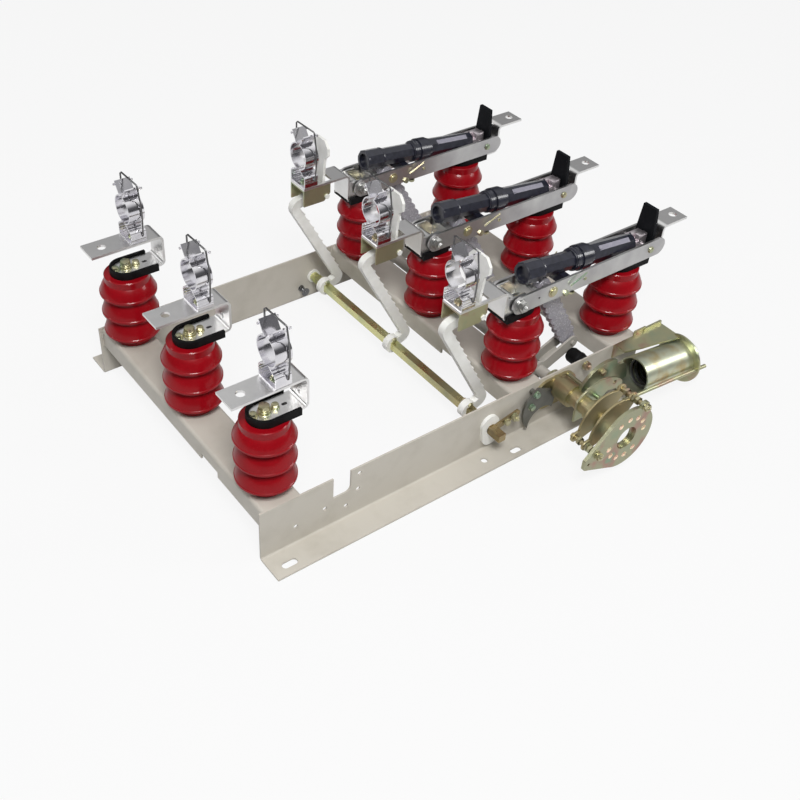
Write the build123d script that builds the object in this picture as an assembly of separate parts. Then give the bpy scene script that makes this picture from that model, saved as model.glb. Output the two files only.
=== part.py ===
from build123d import *
from math import atan2, cos, degrees, hypot, radians, sin, sqrt
import os

# Indoor load break switch with fuse bases, three phases, with its switch blades closed.
# Millimetres. X runs from the fuse end (-X) to the switch contacts (+X), Y across the three
# phases with the drive mechanism at -Y, Z up. The origin is on the floor, midway between
# the four foot slots.

# Phases and rows of insulators
phase_pitch = 210.0
phase_names = ("near", "middle", "far")
row_margin_front = 42.5
row_margin_rear = 41.5
clip_from_front_row = 19.0
fuse_centres = 325.0
clip_to_middle_row = 129.0
contact_row_spacing = 228.0

# Welded sheet frame
web_margin = 50.0
frame_height = 98.0
frame_sheet = 3.0
bend_radius = 5.0
foot_width = 48.0
channel_width = 68.0
channel_depth = 36.0
channel_notch = 11.0
channel_notch_length = 50.0
foot_slot_length = 26.0
foot_slot_width = 12.0
foot_slot_inset = 31.0
foot_slot_edge = 18.0
web_notch_width = 32.0
web_notch_depth = 41.0
web_notch_radius = 10.0
web_notch_from_row = 102.0
web_hole_d = 8.0
foot_hole_d = 11.0
foot_oval_length = 21.0
web_holes = ((19.0, 36.5), (71.0, 44.0), (110.0, 28.0), (132.0, 52.5), (134.0, 85.0))
foot_hole_before_trip = 24.0
foot_hole_inset = 6.0
foot_oval_past_trip = 36.0
foot_oval_outset = 4.0
shaft_hole_gap = 4.0

# Post insulators
insulator_height = 130.0
shed_r = 46.0
shed_rim = 1.8
shed_under = 8.0
shed_over = 26.0
shed_drop_top = 33.0
first_shed_z = 21.0
shed_count = 3
core_r = 38.0
cap_r = 36.5
base_r = 35.0
base_height = 12.0
stud_hole_d = 14.0

# Boots and contact straps
boot_floor = 4.0
boot_wall = 5.0
boot_rim = 8.0
boot_reach = 46.0
seat_gap = 0.3
strap_width = 42.0
strap_sheet = 4.0
strap_bend_r = 7.0
plate_rise = 59.0
front_wall_from_row = 61.0
front_plate_overhang = 62.0
front_hole_from_row = 36.0
terminal_hole_d = 14.0
middle_wall_to_row = 50.0
clip_plate_end = 14.0
wall_hole_length = 10.0
wall_hole_width = 7.0
wall_hole_drop = 38.0
tail_slot_length = 9.0
tail_slot_width = 5.0
tail_slot_from_row = 33.0

# Fuse clips and their wire bails
clip_length = 26.0
clip_sheet = 2.0
clip_foot = 22.0
clip_riser = 20.0
clip_bore_r = 22.5
clip_centre_rise = 54.0
clip_waist_half = 5.0
clip_neck_half = 5.0
clip_flare_half = 18.0
clip_flare_rise = 19.0
clip_rib_r = 1.0
bail_wire_r = 1.5
bail_half = 28.5
bail_knee_half = 27.0
bail_foot_half = 18.0
bail_top_half = 19.0
bail_rise_near = 95.0
bail_rise_far = 102.0
bail_bend_r = 5.0
bail_hook = 9.0
bail_gap = 0.4
bail_far_x = 3.0

# Blades and their pivots
pivot_to_row = 23.0
pivot_rise = 29.0
pivot_pin_r = 6.0
pivot_hub_r = 11.0
cheek_sheet = 3.0
cheek_past_pivot = 35.0
cheek_top = 14.0
blade_height = 32.0
blade_sheet = 4.0
blade_inner_half = 24.0
blade_past_row = 76.0
blade_lock_hole = 38.5
link_pin_arm = 68.0
link_pin_r = 5.0
rivet_past_row = 42.0
rivet_r = 4.0
running_gap = 0.1

# Rear contacts and arc boards
rear_strap_width = 38.0
rear_wall_past_row = 75.0
rear_plate_past_row = 133.0
rear_hole_past_row = 117.0
fin_past_row = 54.0
fin_sheet = 6.0
fin_base_width = rear_strap_width
fin_top_width = 29.0
fin_shoulder_rise = 22.0
fin_rise = 95.0

# Arc tubes, measured from the blade pivot along the blade
tube_start = 21.0
tube_start_rise = 36.0
tube_end = 267.0
tube_end_rise = 9.0
tube_cap_r = 18.5
tube_cap_length = 33.0
tube_front_r = 16.0
tube_collar_start = 106.0
tube_collar_r = 19.0
tube_band_r = 21.5
tube_collar_length = 38.0
tube_rear_r = 18.0
tube_tail_r = 15.5
tube_bore_r = 12.0
tube_bore_depth = 6.0
tube_facets = 8
catch_width = 20.0
catch_length = 28.0
catch_rise = 12.0
catch_sheet = 3.0
saddle_after_pivot = 96.0
saddle_length = 12.0

# Drive shaft, cranks and links
shaft_to_row = 65.0
shaft_drop = 20.0
shaft_r = 10.0
crank_radius = 76.7
crank_angle = 22.7
crank_sheet = 4.0
crank_gap = 19.0
crank_end_r = 12.0
crank_boss_r = 17.0
crank_pin_r = 4.0
link_thickness = 13.0
link_width = 34.0
link_eye_r = 14.0
link_scallops = 8
link_open_gap = 2.6
bearing_r = 19.0
bearing_sheet = 6.0
shaft_end = 14.0

# Trip shaft, levers and striker plates
trip_to_row = 77.0
trip_drop = 51.0
trip_bar = 14.0
trip_journal_r = 9.0
trip_end = 14.0
lever_offset = 5.5
lever_thickness = 13.0
lever_boss_r = 16.0
lever_width = 17.0
lever_elbow_x = 30.0
lever_elbow_rise = 12.0
lever_top_back = 55.0
lever_top_below = 16.0
lever_tip_back = 18.0
lever_tip_below = 6.0
lever_bend_r = 9.0
lever_teeth = 9
lever_tooth_r = 2.2
bush_flange_length = 62.0
bush_flange_width = 36.0
bush_flange_sheet = 6.0
bush_wall = 4.0
bush_tilt = 98.0
trip_arm_length = 52.0
trip_arm_width = 12.0
trip_arm_sheet = 4.0
striker_pin_past_clip = 33.5
striker_pin_below = 27.0
striker_pin_r = 4.5
striker_sheet = 5.0
striker_neck_half = 11.0
striker_slot_half = 16.0
striker_shoulder_half = 15.0
striker_head_half = 24.0
striker_head_rise = 43.0
striker_top_rise = 77.0
striker_foot = 8.0
slot_before_pin = 8.0
slot_past_pin = 14.0
hanger_sheet = 2.5
hanger_length = 55.0
hanger_depth = 31.0
hanger_corner = 13.0

# Drive mechanism outside the near beam, along the drive shaft's axis
disc_out = 160.0
disc_sheet = 6.0
disc_r = 58.0
disc_bore_r = 21.0
disc_ring_bore_r = 17.5
disc_ring_r = 27.0
disc_ring_depth = 5.0
disc_hole_ring_r = 38.5
disc_hole_r = 5.0
disc_holes_each_side = 5
disc_hole_step = 29.0
disc_tail_length = 90.0
disc_tail_drop = 16.0
disc_tail_r = 9.0
spacer_places = ((-62.6, -5.7), (29.0, 52.7))
spacer_r = 4.5
spacer_ear_r = 9.0
sleeve_r = 19.0
sleeve_back = 84.0
sleeve_front = 120.0
journal_r = 14.9
journal_bore_r = 11.0
journal_plate_length = 96.0
journal_plate_width = 60.0
journal_plate_drop = 16.0
journal_plate_sheet = 5.0
ring_outs = (112.0, 136.0)
ring_r = 42.0
ring_hole_r = 30.0
ring_sheet = 4.0
ring_open_angle = 30.0
cylinder_r = 33.0
cylinder_wall = 2.5
cylinder_out = 60.0
cylinder_drop = 17.0
cylinder_tilt = 7.0
cylinder_length = 122.0
cylinder_cap_length = 12.0
cylinder_stud_r = 4.0
cylinder_stud = 18.0
bracket_start = 137.0
bracket_end = 252.0
bracket_sheet = 4.0
bracket_strip = 27.0
bracket_top = 20.0
bracket_step = 44.0
bracket_step_rise = 8.0
bracket_band = 12.0
tie_rod_r = 3.5
tie_rod_out = 99.0
tie_rod_drop = 18.0
tie_rod_length = 190.0
tie_rod_tilt = 5.5
tie_rod_past = 22.0
tie_bar_past_shaft = 26.0
tie_bar_rise = 7.0
tie_bar_r = 4.0
tie_bar_length = 78.0
fan_out = 66.0
fan_sheet = 4.0
fan_right = 88.0
fan_rise = 35.0
fan_drop = 30.0
cam_out = 46.0
cam_sheet = 6.0
cam_r = 58.0
cam_past_shaft = 62.0
cam_drop = 8.0
drum_r = 21.0
drum_start = 16.0
sickle_out = 8.0
sickle_sheet = 4.0
sickle_corners = (
    (-61.0, -67.0),
    (-76.0, -33.0),
    (-72.0, -2.0),
    (-50.0, 16.0),
    (-4.0, -6.0),
    (-10.0, -42.0),
    (-44.0, -34.0),
)
sickle_spacers = ((-61.0, -18.0), (-54.0, 6.0))

# Places that follow from the sizes above
row_span = clip_from_front_row + fuse_centres + clip_to_middle_row
frame_length = row_margin_front + row_span + contact_row_spacing + row_margin_rear
front_row_x = -frame_length / 2 + row_margin_front
front_clip_x = front_row_x + clip_from_front_row
middle_clip_x = front_clip_x + fuse_centres
middle_row_x = middle_clip_x + clip_to_middle_row
rear_row_x = middle_row_x + contact_row_spacing
web_y = phase_pitch + web_margin
web_inner_y = web_y - frame_sheet
foot_slot_x = frame_length / 2 - foot_slot_inset
foot_slot_y = web_y + foot_width - foot_slot_edge
insulator_top_z = frame_height + insulator_height
shed_pitch = (insulator_height - first_shed_z - shed_drop_top) / (shed_count - 1)
strap_z = insulator_top_z + boot_floor
boot_rim_z = strap_z + boot_rim
plate_z = insulator_top_z + plate_rise
front_wall_x = front_row_x + front_wall_from_row
middle_wall_x = middle_row_x - middle_wall_to_row
middle_plate_x = middle_clip_x - clip_plate_end
clip_centre_z = plate_z + clip_centre_rise
pivot_x = middle_row_x - pivot_to_row
pivot_z = insulator_top_z + pivot_rise
blade_end_x = rear_row_x + blade_past_row
blade_outer_half = blade_inner_half + blade_sheet
link_pin_x = pivot_x + link_pin_arm
rivet_x = rear_row_x + rivet_past_row
rear_wall_x = rear_row_x + rear_wall_past_row
fin_x = rear_row_x + fin_past_row
shaft_x = middle_row_x + shaft_to_row
shaft_z = frame_height - shaft_drop
crank_tip_x = shaft_x + crank_radius * cos(radians(crank_angle))
crank_tip_z = shaft_z + crank_radius * sin(radians(crank_angle))
trip_x = middle_row_x - trip_to_row
trip_z = frame_height - trip_drop
striker_pin_x = middle_clip_x + striker_pin_past_clip
striker_pin_z = plate_z - striker_pin_below
phase_y = [(i - 1) * phase_pitch for i in range(3)]
cylinder_y = -web_y - cylinder_out
cylinder_z = shaft_z - cylinder_drop


def box(x0, x1, y0, y1, z0, z1):
    """A block between two opposite corners."""
    centre = Pos((x0 + x1) / 2, (y0 + y1) / 2, (z0 + z1) / 2)
    return centre * Box(abs(x1 - x0), abs(y1 - y0), abs(z1 - z0))


def rod_x(x0, x1, y, z, radius):
    """A round bar along X."""
    return Pos((x0 + x1) / 2, y, z) * Rot(0, 90, 0) * Cylinder(radius, abs(x1 - x0))


def rod_y(x, y0, y1, z, radius):
    """A round bar along Y."""
    return Pos(x, (y0 + y1) / 2, z) * Rot(90, 0, 0) * Cylinder(radius, abs(y1 - y0))


def rod_z(x, y, z0, z1, radius):
    """A round bar along Z."""
    return Pos(x, y, (z0 + z1) / 2) * Cylinder(radius, abs(z1 - z0))


def plate_y(face_xz, y0, y1):
    """A face drawn in X and Z, made into a plate between y0 and y1."""
    return Pos(0, max(y0, y1), 0) * Rot(90, 0, 0) * extrude(face_xz, abs(y1 - y0))


def plate_x(face_yz, x0, x1):
    """A face drawn in Y and Z, made into a plate between x0 and x1."""
    plane = Plane(origin=(min(x0, x1), 0, 0), x_dir=(0, 1, 0), z_dir=(1, 0, 0))
    return extrude(plane * face_yz, abs(x1 - x0))


def polygon(*points):
    """A face through points in order."""
    return make_face(Polyline(*points, close=True))


def capsule(x0, z0, x1, z1, radius):
    """A bar with round ends between two points, as a face."""
    length = hypot(x1 - x0, z1 - z0)
    angle = degrees(atan2(z1 - z0, x1 - x0))
    return Pos((x0 + x1) / 2, (z0 + z1) / 2) * SlotCenterToCenter(length, 2 * radius, rotation=angle)


def row_of(make, *sizes):
    """The same piece in each phase, as separate solids of one node."""
    return Compound(children=[Pos(0, y, 0) * make(*sizes) for y in phase_y])


def both_rows(make):
    """The same piece at both fuse ends of each phase."""
    pieces = []
    for y in phase_y:
        for x in (front_clip_x, middle_clip_x):
            pieces.append(Pos(0, y, 0) * make(x))
    return Compound(children=pieces)


def phase_nodes(name, make):
    """The same piece in each phase, as one node each."""
    return {f"{name}_{phase}": Pos(0, y, 0) * make() for phase, y in zip(phase_names, phase_y)}


def side_beam(side):
    """A bent side beam: upright web, foot flange turned outward, a slot near each end."""
    half = frame_sheet / 2
    path = FilletPolyline(
        (side * (web_y + foot_width), half),
        (side * (web_y - half), half),
        (side * (web_y - half), frame_height),
        radius=bend_radius,
    )
    beam = plate_x(trace(path, frame_sheet), -frame_length / 2, frame_length / 2)
    slot = extrude(SlotOverall(foot_slot_length, foot_slot_width), 2 * frame_sheet, both=True)
    for end in (-1, 1):
        beam -= Pos(end * foot_slot_x, side * foot_slot_y, 0) * slot
    through = (side * (web_y + 1), side * (web_inner_y - 1))
    beam -= rod_y(shaft_x, *through, shaft_z, shaft_r + shaft_hole_gap)
    beam -= rod_y(trip_x, *through, trip_z, trip_journal_r + bush_wall)
    return beam


def near_side_beam():
    """The near beam has the notch for the door lock and the holes for the drive's fixings."""
    beam = side_beam(-1)
    through = (-web_y - 1, -web_inner_y + 1)
    notch_x = front_row_x + web_notch_from_row
    top = frame_height + web_notch_radius
    bottom = frame_height - web_notch_depth
    notch = Pos(notch_x, (top + bottom) / 2) * Rectangle(web_notch_width, top - bottom)
    corners = notch.vertices().group_by(Axis.Y)[0].sort_by(Axis.X)
    notch = fillet(corners[-1], web_notch_radius)
    beam -= plate_y(notch, *through)
    for past_row, z in web_holes:
        beam -= rod_y(front_row_x + past_row, *through, z, web_hole_d / 2)
    hole_x = trip_x - foot_hole_before_trip
    beam -= rod_z(hole_x, -foot_slot_y + foot_hole_inset, -1, frame_sheet + 1, foot_hole_d / 2)
    oval = extrude(SlotOverall(foot_oval_length, foot_hole_d), 2 * frame_sheet, both=True)
    beam -= Pos(trip_x + foot_oval_past_trip, -foot_slot_y - foot_oval_outset, 0) * oval
    return beam


def far_side_beam():
    return side_beam(1)


def cross_channel(x, notch_side):
    """A cross channel under one insulator row, open below, with one flange notched."""
    half = frame_sheet / 2
    side = channel_width / 2 - half
    low = frame_height - channel_depth
    top = frame_height - half
    path = FilletPolyline(
        (x - side, low),
        (x - side, top),
        (x + side, top),
        (x + side, low),
        radius=bend_radius,
    )
    channel = plate_y(trace(path, frame_sheet), -web_inner_y, web_inner_y)
    edge = x + notch_side * channel_width / 2
    middle = -phase_pitch / 2 + channel_notch_length / 2
    y0 = middle - channel_notch_length
    inside = edge - notch_side * 2 * frame_sheet
    channel -= box(inside, edge + notch_side, y0, middle, low - 1, low + channel_notch)
    for y in phase_y:
        channel -= rod_z(x, y, low, frame_height + 1, stud_hole_d / 2)
    return channel


def shed(z):
    """One shed's outline: undercut face, narrow rim band and the long slope above it."""
    under = Line((core_r, z - shed_under), (shed_r - 1, z - shed_rim - 1))
    rim = Polyline(
        under @ 1,
        (shed_r, z - shed_rim),
        (shed_r, z + shed_rim),
        (shed_r - 1, z + shed_rim + 1),
    )
    half_way = ((core_r + shed_r) / 2 + 1, z + shed_over * 0.55)
    slope = ThreePointArc(rim @ 1, half_way, (core_r, z + shed_over))
    return [under, *rim.edges(), slope]


def insulator(x):
    """A post insulator: base, ribs and cap turned round its axis."""
    edges = [Line((0, 0), (base_r, 0)), Line((base_r, 0), (base_r, base_height))]
    for i in range(shed_count):
        outline = shed(first_shed_z + i * shed_pitch)
        edges.append(Line(edges[-1] @ 1, outline[0] @ 0))
        edges += outline
    top_shed_z = insulator_height - shed_drop_top
    neck = (cap_r, top_shed_z + shed_over * 0.8)
    half_way = ((cap_r + shed_r) / 2, top_shed_z + shed_over * 0.5)
    edges[-1] = ThreePointArc(edges[-2] @ 1, half_way, neck)
    edges.append(Polyline(edges[-1] @ 1, (cap_r, insulator_height), (0, insulator_height), (0, 0)))
    body = revolve(Plane.XZ * make_face(edges), Axis.Z)
    return Pos(x, 0, frame_height) * body


def boot(x, open_side):
    """A rubber boot on an insulator: a floor with a rim round the strap, open at one end."""
    inner_half = strap_width / 2 + seat_gap
    outer_half = inner_half + boot_wall
    outer = Pos(x, 0) * Circle(outer_half)
    outer += Pos(x + open_side * boot_reach / 2, 0) * Rectangle(boot_reach, 2 * outer_half)
    inner = Pos(x, 0) * Circle(inner_half)
    inner += Pos(x + open_side * boot_reach, 0) * Rectangle(2 * boot_reach, 2 * inner_half)
    body = extrude(outer, boot_floor) + extrude(outer - inner, boot_floor + boot_rim)
    body -= rod_z(x, 0, -1, boot_floor + 1, stud_hole_d / 2)
    return Pos(0, 0, insulator_top_z) * body


def tail_end(x, open_side, width):
    """What is cut away to round the strap's tail inside its boot."""
    keep = extrude(Pos(x, 0) * Circle(width / 2), 4 * strap_sheet)
    away = box(x, x - open_side * width, -width, width, 0, 4 * strap_sheet)
    return Pos(0, 0, strap_z - strap_sheet) * (away - keep)


def bent_strap(width, *path):
    """A flat bar bent along a path in X and Z."""
    return plate_y(trace(FilletPolyline(*path, radius=strap_bend_r), strap_sheet), -width / 2, width / 2)


def front_terminal():
    """Front strap: along the insulator top, up, and back over it as the terminal plate."""
    half = strap_sheet / 2
    strap = bent_strap(
        strap_width,
        (front_row_x - strap_width / 2, strap_z + half),
        (front_wall_x - half, strap_z + half),
        (front_wall_x - half, plate_z - half),
        (front_row_x - front_plate_overhang, plate_z - half),
    )
    strap -= tail_end(front_row_x, 1, strap_width)
    hole_x = front_row_x - front_hole_from_row
    strap -= rod_z(hole_x, 0, plate_z - 2 * strap_sheet, plate_z + 1, terminal_hole_d / 2)
    hole = Pos(0, plate_z - wall_hole_drop) * SlotOverall(wall_hole_length, wall_hole_width, rotation=90)
    strap -= plate_x(hole, front_wall_x - 2 * strap_sheet, front_wall_x + 1)
    slot = extrude(SlotOverall(tail_slot_length, tail_slot_width), 2 * strap_sheet, both=True)
    return strap - Pos(front_row_x + tail_slot_from_row, 0, strap_z) * slot


def striker_slot():
    """The slot through fuse plate and hanger in which the striker plate tips."""
    x0 = striker_pin_x - slot_before_pin
    x1 = striker_pin_x + slot_past_pin
    return box(x0, x1, -striker_slot_half, striker_slot_half, plate_z - 4 * strap_sheet, plate_z + 1)


def middle_terminal():
    """Middle strap: fuse plate, wall, tail on the insulator and two cheeks for the blade pivot."""
    half = strap_sheet / 2
    strap = bent_strap(
        strap_width,
        (middle_plate_x, plate_z - half),
        (middle_wall_x + half, plate_z - half),
        (middle_wall_x + half, strap_z + half),
        (middle_row_x + strap_width / 2, strap_z + half),
    )
    strap -= tail_end(middle_row_x, -1, strap_width)
    strap -= striker_slot()
    back = middle_wall_x + strap_sheet / 2
    foot = strap_z + strap_sheet / 2
    front = pivot_x + cheek_past_pivot
    cheek = polygon(
        (back, foot),
        (middle_row_x - strap_width / 4, foot),
        (middle_row_x, boot_rim_z + 2),
        (front, boot_rim_z + 2),
        (front, pivot_z - 4),
        (pivot_x + cheek_top, pivot_z + cheek_top),
        (back, pivot_z + cheek_top),
    )
    for side in (-1, 1):
        y0 = side * strap_width / 2
        y1 = y0 - side * cheek_sheet
        strap += plate_y(cheek, y0, y1)
    return strap - rod_y(pivot_x, -strap_width, strap_width, pivot_z, pivot_pin_r)


def rear_terminal():
    """Rear strap: tail on the insulator, up between the blade bars and out as the terminal."""
    half = strap_sheet / 2
    strap = bent_strap(
        rear_strap_width,
        (rear_row_x - rear_strap_width / 2, strap_z + half),
        (rear_wall_x + half, strap_z + half),
        (rear_wall_x + half, plate_z - half),
        (rear_row_x + rear_plate_past_row, plate_z - half),
    )
    strap -= tail_end(rear_row_x, 1, rear_strap_width)
    hole_x = rear_row_x + rear_hole_past_row
    return strap - rod_z(hole_x, 0, plate_z - 2 * strap_sheet, plate_z + 1, terminal_hole_d / 2)


def clip_leaf():
    """The near leaf's centre line: foot, riser, waist, half barrel, neck and flare, in Y and Z."""
    half = clip_sheet / 2
    mid_r = clip_bore_r + half
    foot_y = half - clip_foot
    foot_z = plate_z + half
    waist_z = clip_centre_z - sqrt(mid_r**2 - clip_waist_half**2)
    neck_z = clip_centre_z + sqrt(mid_r**2 - clip_neck_half**2)
    base = FilletPolyline(
        (0, foot_z),
        (foot_y, foot_z),
        (foot_y, plate_z + clip_riser),
        (-clip_waist_half, waist_z),
        radius=clip_sheet,
    )
    barrel = ThreePointArc((-clip_waist_half, waist_z), (-mid_r, clip_centre_z), (-clip_neck_half, neck_z))
    flare = Line((-clip_neck_half, neck_z), (-clip_flare_half, neck_z + clip_flare_rise))
    return Wire([*base.edges(), *barrel.edges(), *flare.edges()])


def fuse_clip(x):
    """A fuse clip: two bent leaves face to face, with pressed ribs on each riser and flare."""
    ends = (x - clip_length / 2, x + clip_length / 2)
    leaf = plate_x(trace(clip_leaf(), clip_sheet), *ends)
    shoulder_z = plate_z + clip_riser
    waist_z = clip_centre_z - clip_bore_r
    for step in (0.25, 0.6):
        y = (clip_foot - clip_waist_half) * step - clip_foot
        leaf += rod_x(*ends, y, shoulder_z + (waist_z - shoulder_z) * step, clip_rib_r)
    rib_y = -(clip_neck_half + clip_flare_half) / 2
    leaf += rod_x(*ends, rib_y, clip_centre_z + clip_bore_r + clip_flare_rise / 2, clip_rib_r)
    return leaf + mirror(leaf, Plane.XZ)


def clip_bail(x):
    """The spring wire that closes over the clip, hooked under a foot at each end."""
    near_x = x + clip_length / 2 + bail_wire_r + bail_gap
    far_x = x + bail_far_x
    low = plate_z + bail_wire_r
    path = FilletPolyline(
        (near_x, -bail_foot_half + bail_hook, low),
        (near_x, -bail_foot_half, low),
        (near_x, -bail_knee_half, clip_centre_z),
        (near_x, -bail_top_half, plate_z + bail_rise_near),
        (far_x, bail_half, plate_z + bail_rise_far),
        (far_x, bail_half, low),
        (far_x - bail_hook, bail_half, low),
        radius=bail_bend_r,
    )
    return sweep(Plane(origin=path @ 0, z_dir=path % 0) * Circle(bail_wire_r), path)


def striker_hanger():
    """An upturned U under the fuse plate, with the bearing for the striker plate."""
    top = plate_z - strap_sheet
    half = strap_width / 2
    x0 = middle_plate_x
    x1 = x0 + hanger_length
    low = top - hanger_depth
    side_plate = polygon(
        (x0, top),
        (x0, low),
        (x1 - hanger_corner, low),
        (x1, low + hanger_corner),
        (x1, top),
    )
    hanger = box(x0, x1, -half, half, top - hanger_sheet, top)
    for side in (-1, 1):
        hanger += plate_y(side_plate, side * half, side * (half - hanger_sheet))
    hanger -= striker_slot()
    bore_r = striker_pin_r + running_gap
    return hanger - rod_y(striker_pin_x, -strap_width, strap_width, striker_pin_z, bore_r)


def striker_plate():
    """The white plate beside the clip that a blown fuse tips, with its moulded pin."""
    head_z = plate_z + striker_head_rise
    top_z = plate_z + striker_top_rise
    right = [
        (striker_neck_half, striker_pin_z - striker_foot),
        (striker_neck_half, plate_z + striker_foot),
        (striker_shoulder_half, head_z),
        (striker_head_half, head_z + striker_head_half / 3),
        (striker_head_half, top_z - striker_head_half / 2),
        (striker_head_half * 0.6, top_z),
    ]
    left = [(-y, z) for y, z in reversed(right)]
    outline = polygon(*right, *left)
    plate = plate_x(outline, striker_pin_x - striker_sheet / 2, striker_pin_x + striker_sheet / 2)
    reach = strap_width / 2 + striker_sheet / 2
    return plate + rod_y(striker_pin_x, -reach, reach, striker_pin_z, striker_pin_r)


def pivot_pin():
    """The blade's pivot bolt through both cheeks, with a hexagon head and nut."""
    gap = 4 * running_gap
    y0 = blade_outer_half + gap
    head = pivot_pin_r
    pin = rod_y(pivot_x, -y0, y0, pivot_z, pivot_pin_r)
    hexagon = Pos(pivot_x, pivot_z) * RegularPolygon(pivot_pin_r * 1.6, 6)
    washer = Pos(pivot_x, pivot_z) * Circle(pivot_hub_r)
    for side in (-1, 1):
        pin += plate_y(washer, side * y0, side * (y0 + 2))
        pin += plate_y(hexagon, side * (y0 + 2), side * (y0 + 2 + head))
    return pin


def blade_bar_outline():
    """A blade bar's outline: straight bar with round ends."""
    radius = blade_height / 2
    return capsule(pivot_x, pivot_z, blade_end_x - radius, pivot_z, radius)


def blade():
    """One moving contact: two bars, the link's pin and the rivet that ties them at the end."""
    outline = blade_bar_outline()
    outline -= Pos(pivot_x, pivot_z) * Circle(pivot_pin_r + running_gap)
    outline -= Pos(pivot_x + blade_lock_hole, pivot_z) * Circle(rivet_r / 2)
    bars = plate_y(outline, blade_inner_half, blade_outer_half)
    bars += plate_y(outline, -blade_inner_half, -blade_outer_half)
    reach = blade_outer_half + rivet_r / 2
    bars += rod_y(link_pin_x, -reach, reach, pivot_z, link_pin_r)
    return bars + rod_y(rivet_x, -reach, reach, pivot_z, rivet_r)


def arc_tube():
    """The arc tube over the blade: faceted barrel, cap, collar and tapered rear body."""
    run = tube_end - tube_start
    fall = tube_start_rise - tube_end_rise
    length = hypot(run, fall)
    collar_end = tube_collar_start + tube_collar_length
    tube = extrude(RegularPolygon(tube_front_r, tube_facets), tube_collar_start)
    tube += extrude(RegularPolygon(tube_cap_r, tube_facets), tube_cap_length)
    tube += Pos(0, 0, tube_collar_start) * extrude(Circle(tube_collar_r), tube_collar_length)
    band = extrude(Circle(tube_band_r), tube_collar_length / 2)
    tube += Pos(0, 0, tube_collar_start + tube_collar_length / 3) * band
    start = Plane.XY.offset(collar_end) * RegularPolygon(tube_rear_r, tube_facets)
    end = Plane.XY.offset(length) * RegularPolygon(tube_tail_r, tube_facets)
    tube += loft([start, end])
    tube -= extrude(Circle(tube_bore_r), tube_bore_depth)
    tilt = degrees(atan2(fall, run))
    tube = Pos(pivot_x + tube_start, 0, pivot_z + tube_start_rise) * Rot(0, 90 + tilt, 0) * tube
    return tube + tube_catch() + tube_saddle()


def tube_catch():
    """The folded catch at the tube's end that rides on the blade's rivet."""
    x0 = pivot_x + tube_end - catch_sheet
    x1 = rivet_x + rivet_r / 2
    half = catch_width / 2
    z0 = pivot_z - rivet_r
    z1 = pivot_z + catch_rise
    catch = box(x0, x1, -half, half, z0, z1) - box(
        x0 + catch_sheet, x1 + 1, -half + catch_sheet, half - catch_sheet, z0 - 1, z1 - catch_sheet
    )
    hub = rod_y(rivet_x, -half, half, pivot_z, rivet_r + catch_sheet)
    return catch + hub - rod_y(rivet_x, -catch_width, catch_width, pivot_z, rivet_r + running_gap)


def tube_saddle():
    """The block under the tube's front that is clamped between the two blade bars."""
    x0 = pivot_x + saddle_after_pivot
    wide = blade_inner_half - seat_gap / 3
    rise = tube_start_rise - tube_front_r / 2
    block = box(x0, x0 + saddle_length, -wide, wide, pivot_z - rivet_r, pivot_z + blade_height / 2 - 2)
    neck = tube_front_r / 2
    return block + box(x0, x0 + saddle_length, -neck, neck, pivot_z, pivot_z + rise)


def rear_fin():
    """The black arc board that stands between the blade bars on the rear contact."""
    low = strap_z + strap_sheet
    shoulder = pivot_z + fin_shoulder_rise
    top = insulator_top_z + fin_rise
    outline = polygon(
        (-fin_base_width / 2, low),
        (fin_base_width / 2, low),
        (fin_base_width / 2, shoulder),
        (fin_top_width / 2, top),
        (-fin_top_width / 2, top),
        (-fin_base_width / 2, shoulder),
    )
    return plate_x(outline, fin_x - fin_sheet / 2, fin_x + fin_sheet / 2)


def drive_shaft():
    """The drive shaft across all phases, through both webs and into the bearing tube."""
    return rod_y(shaft_x, -web_y - sleeve_back + shaft_end, web_y + shaft_end, shaft_z, shaft_r)


def crank():
    """A forked crank on the shaft: two cheeks tied by a floor, and the pin at its tip."""
    inner = crank_gap / 2
    outer = inner + crank_sheet
    cheek = Circle(crank_boss_r)
    cheek += SlotCenterPoint((crank_radius / 2, 0), (crank_radius, 0), 2 * crank_end_r)
    cheek -= Circle(shaft_r)
    floor_start = crank_boss_r
    floor_end = crank_radius - link_eye_r - 2 * crank_sheet
    floor = Pos((floor_start + floor_end) / 2, crank_sheet / 2 - crank_end_r)
    floor *= Rectangle(floor_end - floor_start, crank_sheet)
    place = Pos(shaft_x, shaft_z) * Rot(0, 0, crank_angle)
    arm = plate_y(place * cheek, inner, outer)
    arm += plate_y(place * cheek, -inner, -outer)
    arm += plate_y(place * floor, -inner, inner)
    return arm + rod_y(crank_tip_x, -outer - 3, outer + 3, crank_tip_z, crank_pin_r)


def link():
    """The insulating link: a flat bar with scalloped edges from blade pin to crank pin."""
    length = hypot(crank_tip_x - link_pin_x, crank_tip_z - pivot_z)
    angle = degrees(atan2(crank_tip_z - pivot_z, crank_tip_x - link_pin_x))
    start = link_eye_r
    step = (length - start - link_eye_r) / link_scallops
    bump = step * 0.55
    outline = capsule(0, 0, length, 0, link_eye_r - 1)
    for i in range(link_scallops):
        centre = Pos(start + (i + 0.5) * step, 0)
        outline += centre * SlotCenterToCenter(link_width - 2 * bump, 2 * bump, rotation=90)
    outline -= Circle(link_pin_r + running_gap)
    outline -= Pos(length, 0) * Circle(crank_pin_r + link_open_gap)
    outline = Pos(link_pin_x, pivot_z) * Rot(0, 0, angle) * outline
    return plate_y(outline, -link_thickness / 2, link_thickness / 2)


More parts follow.
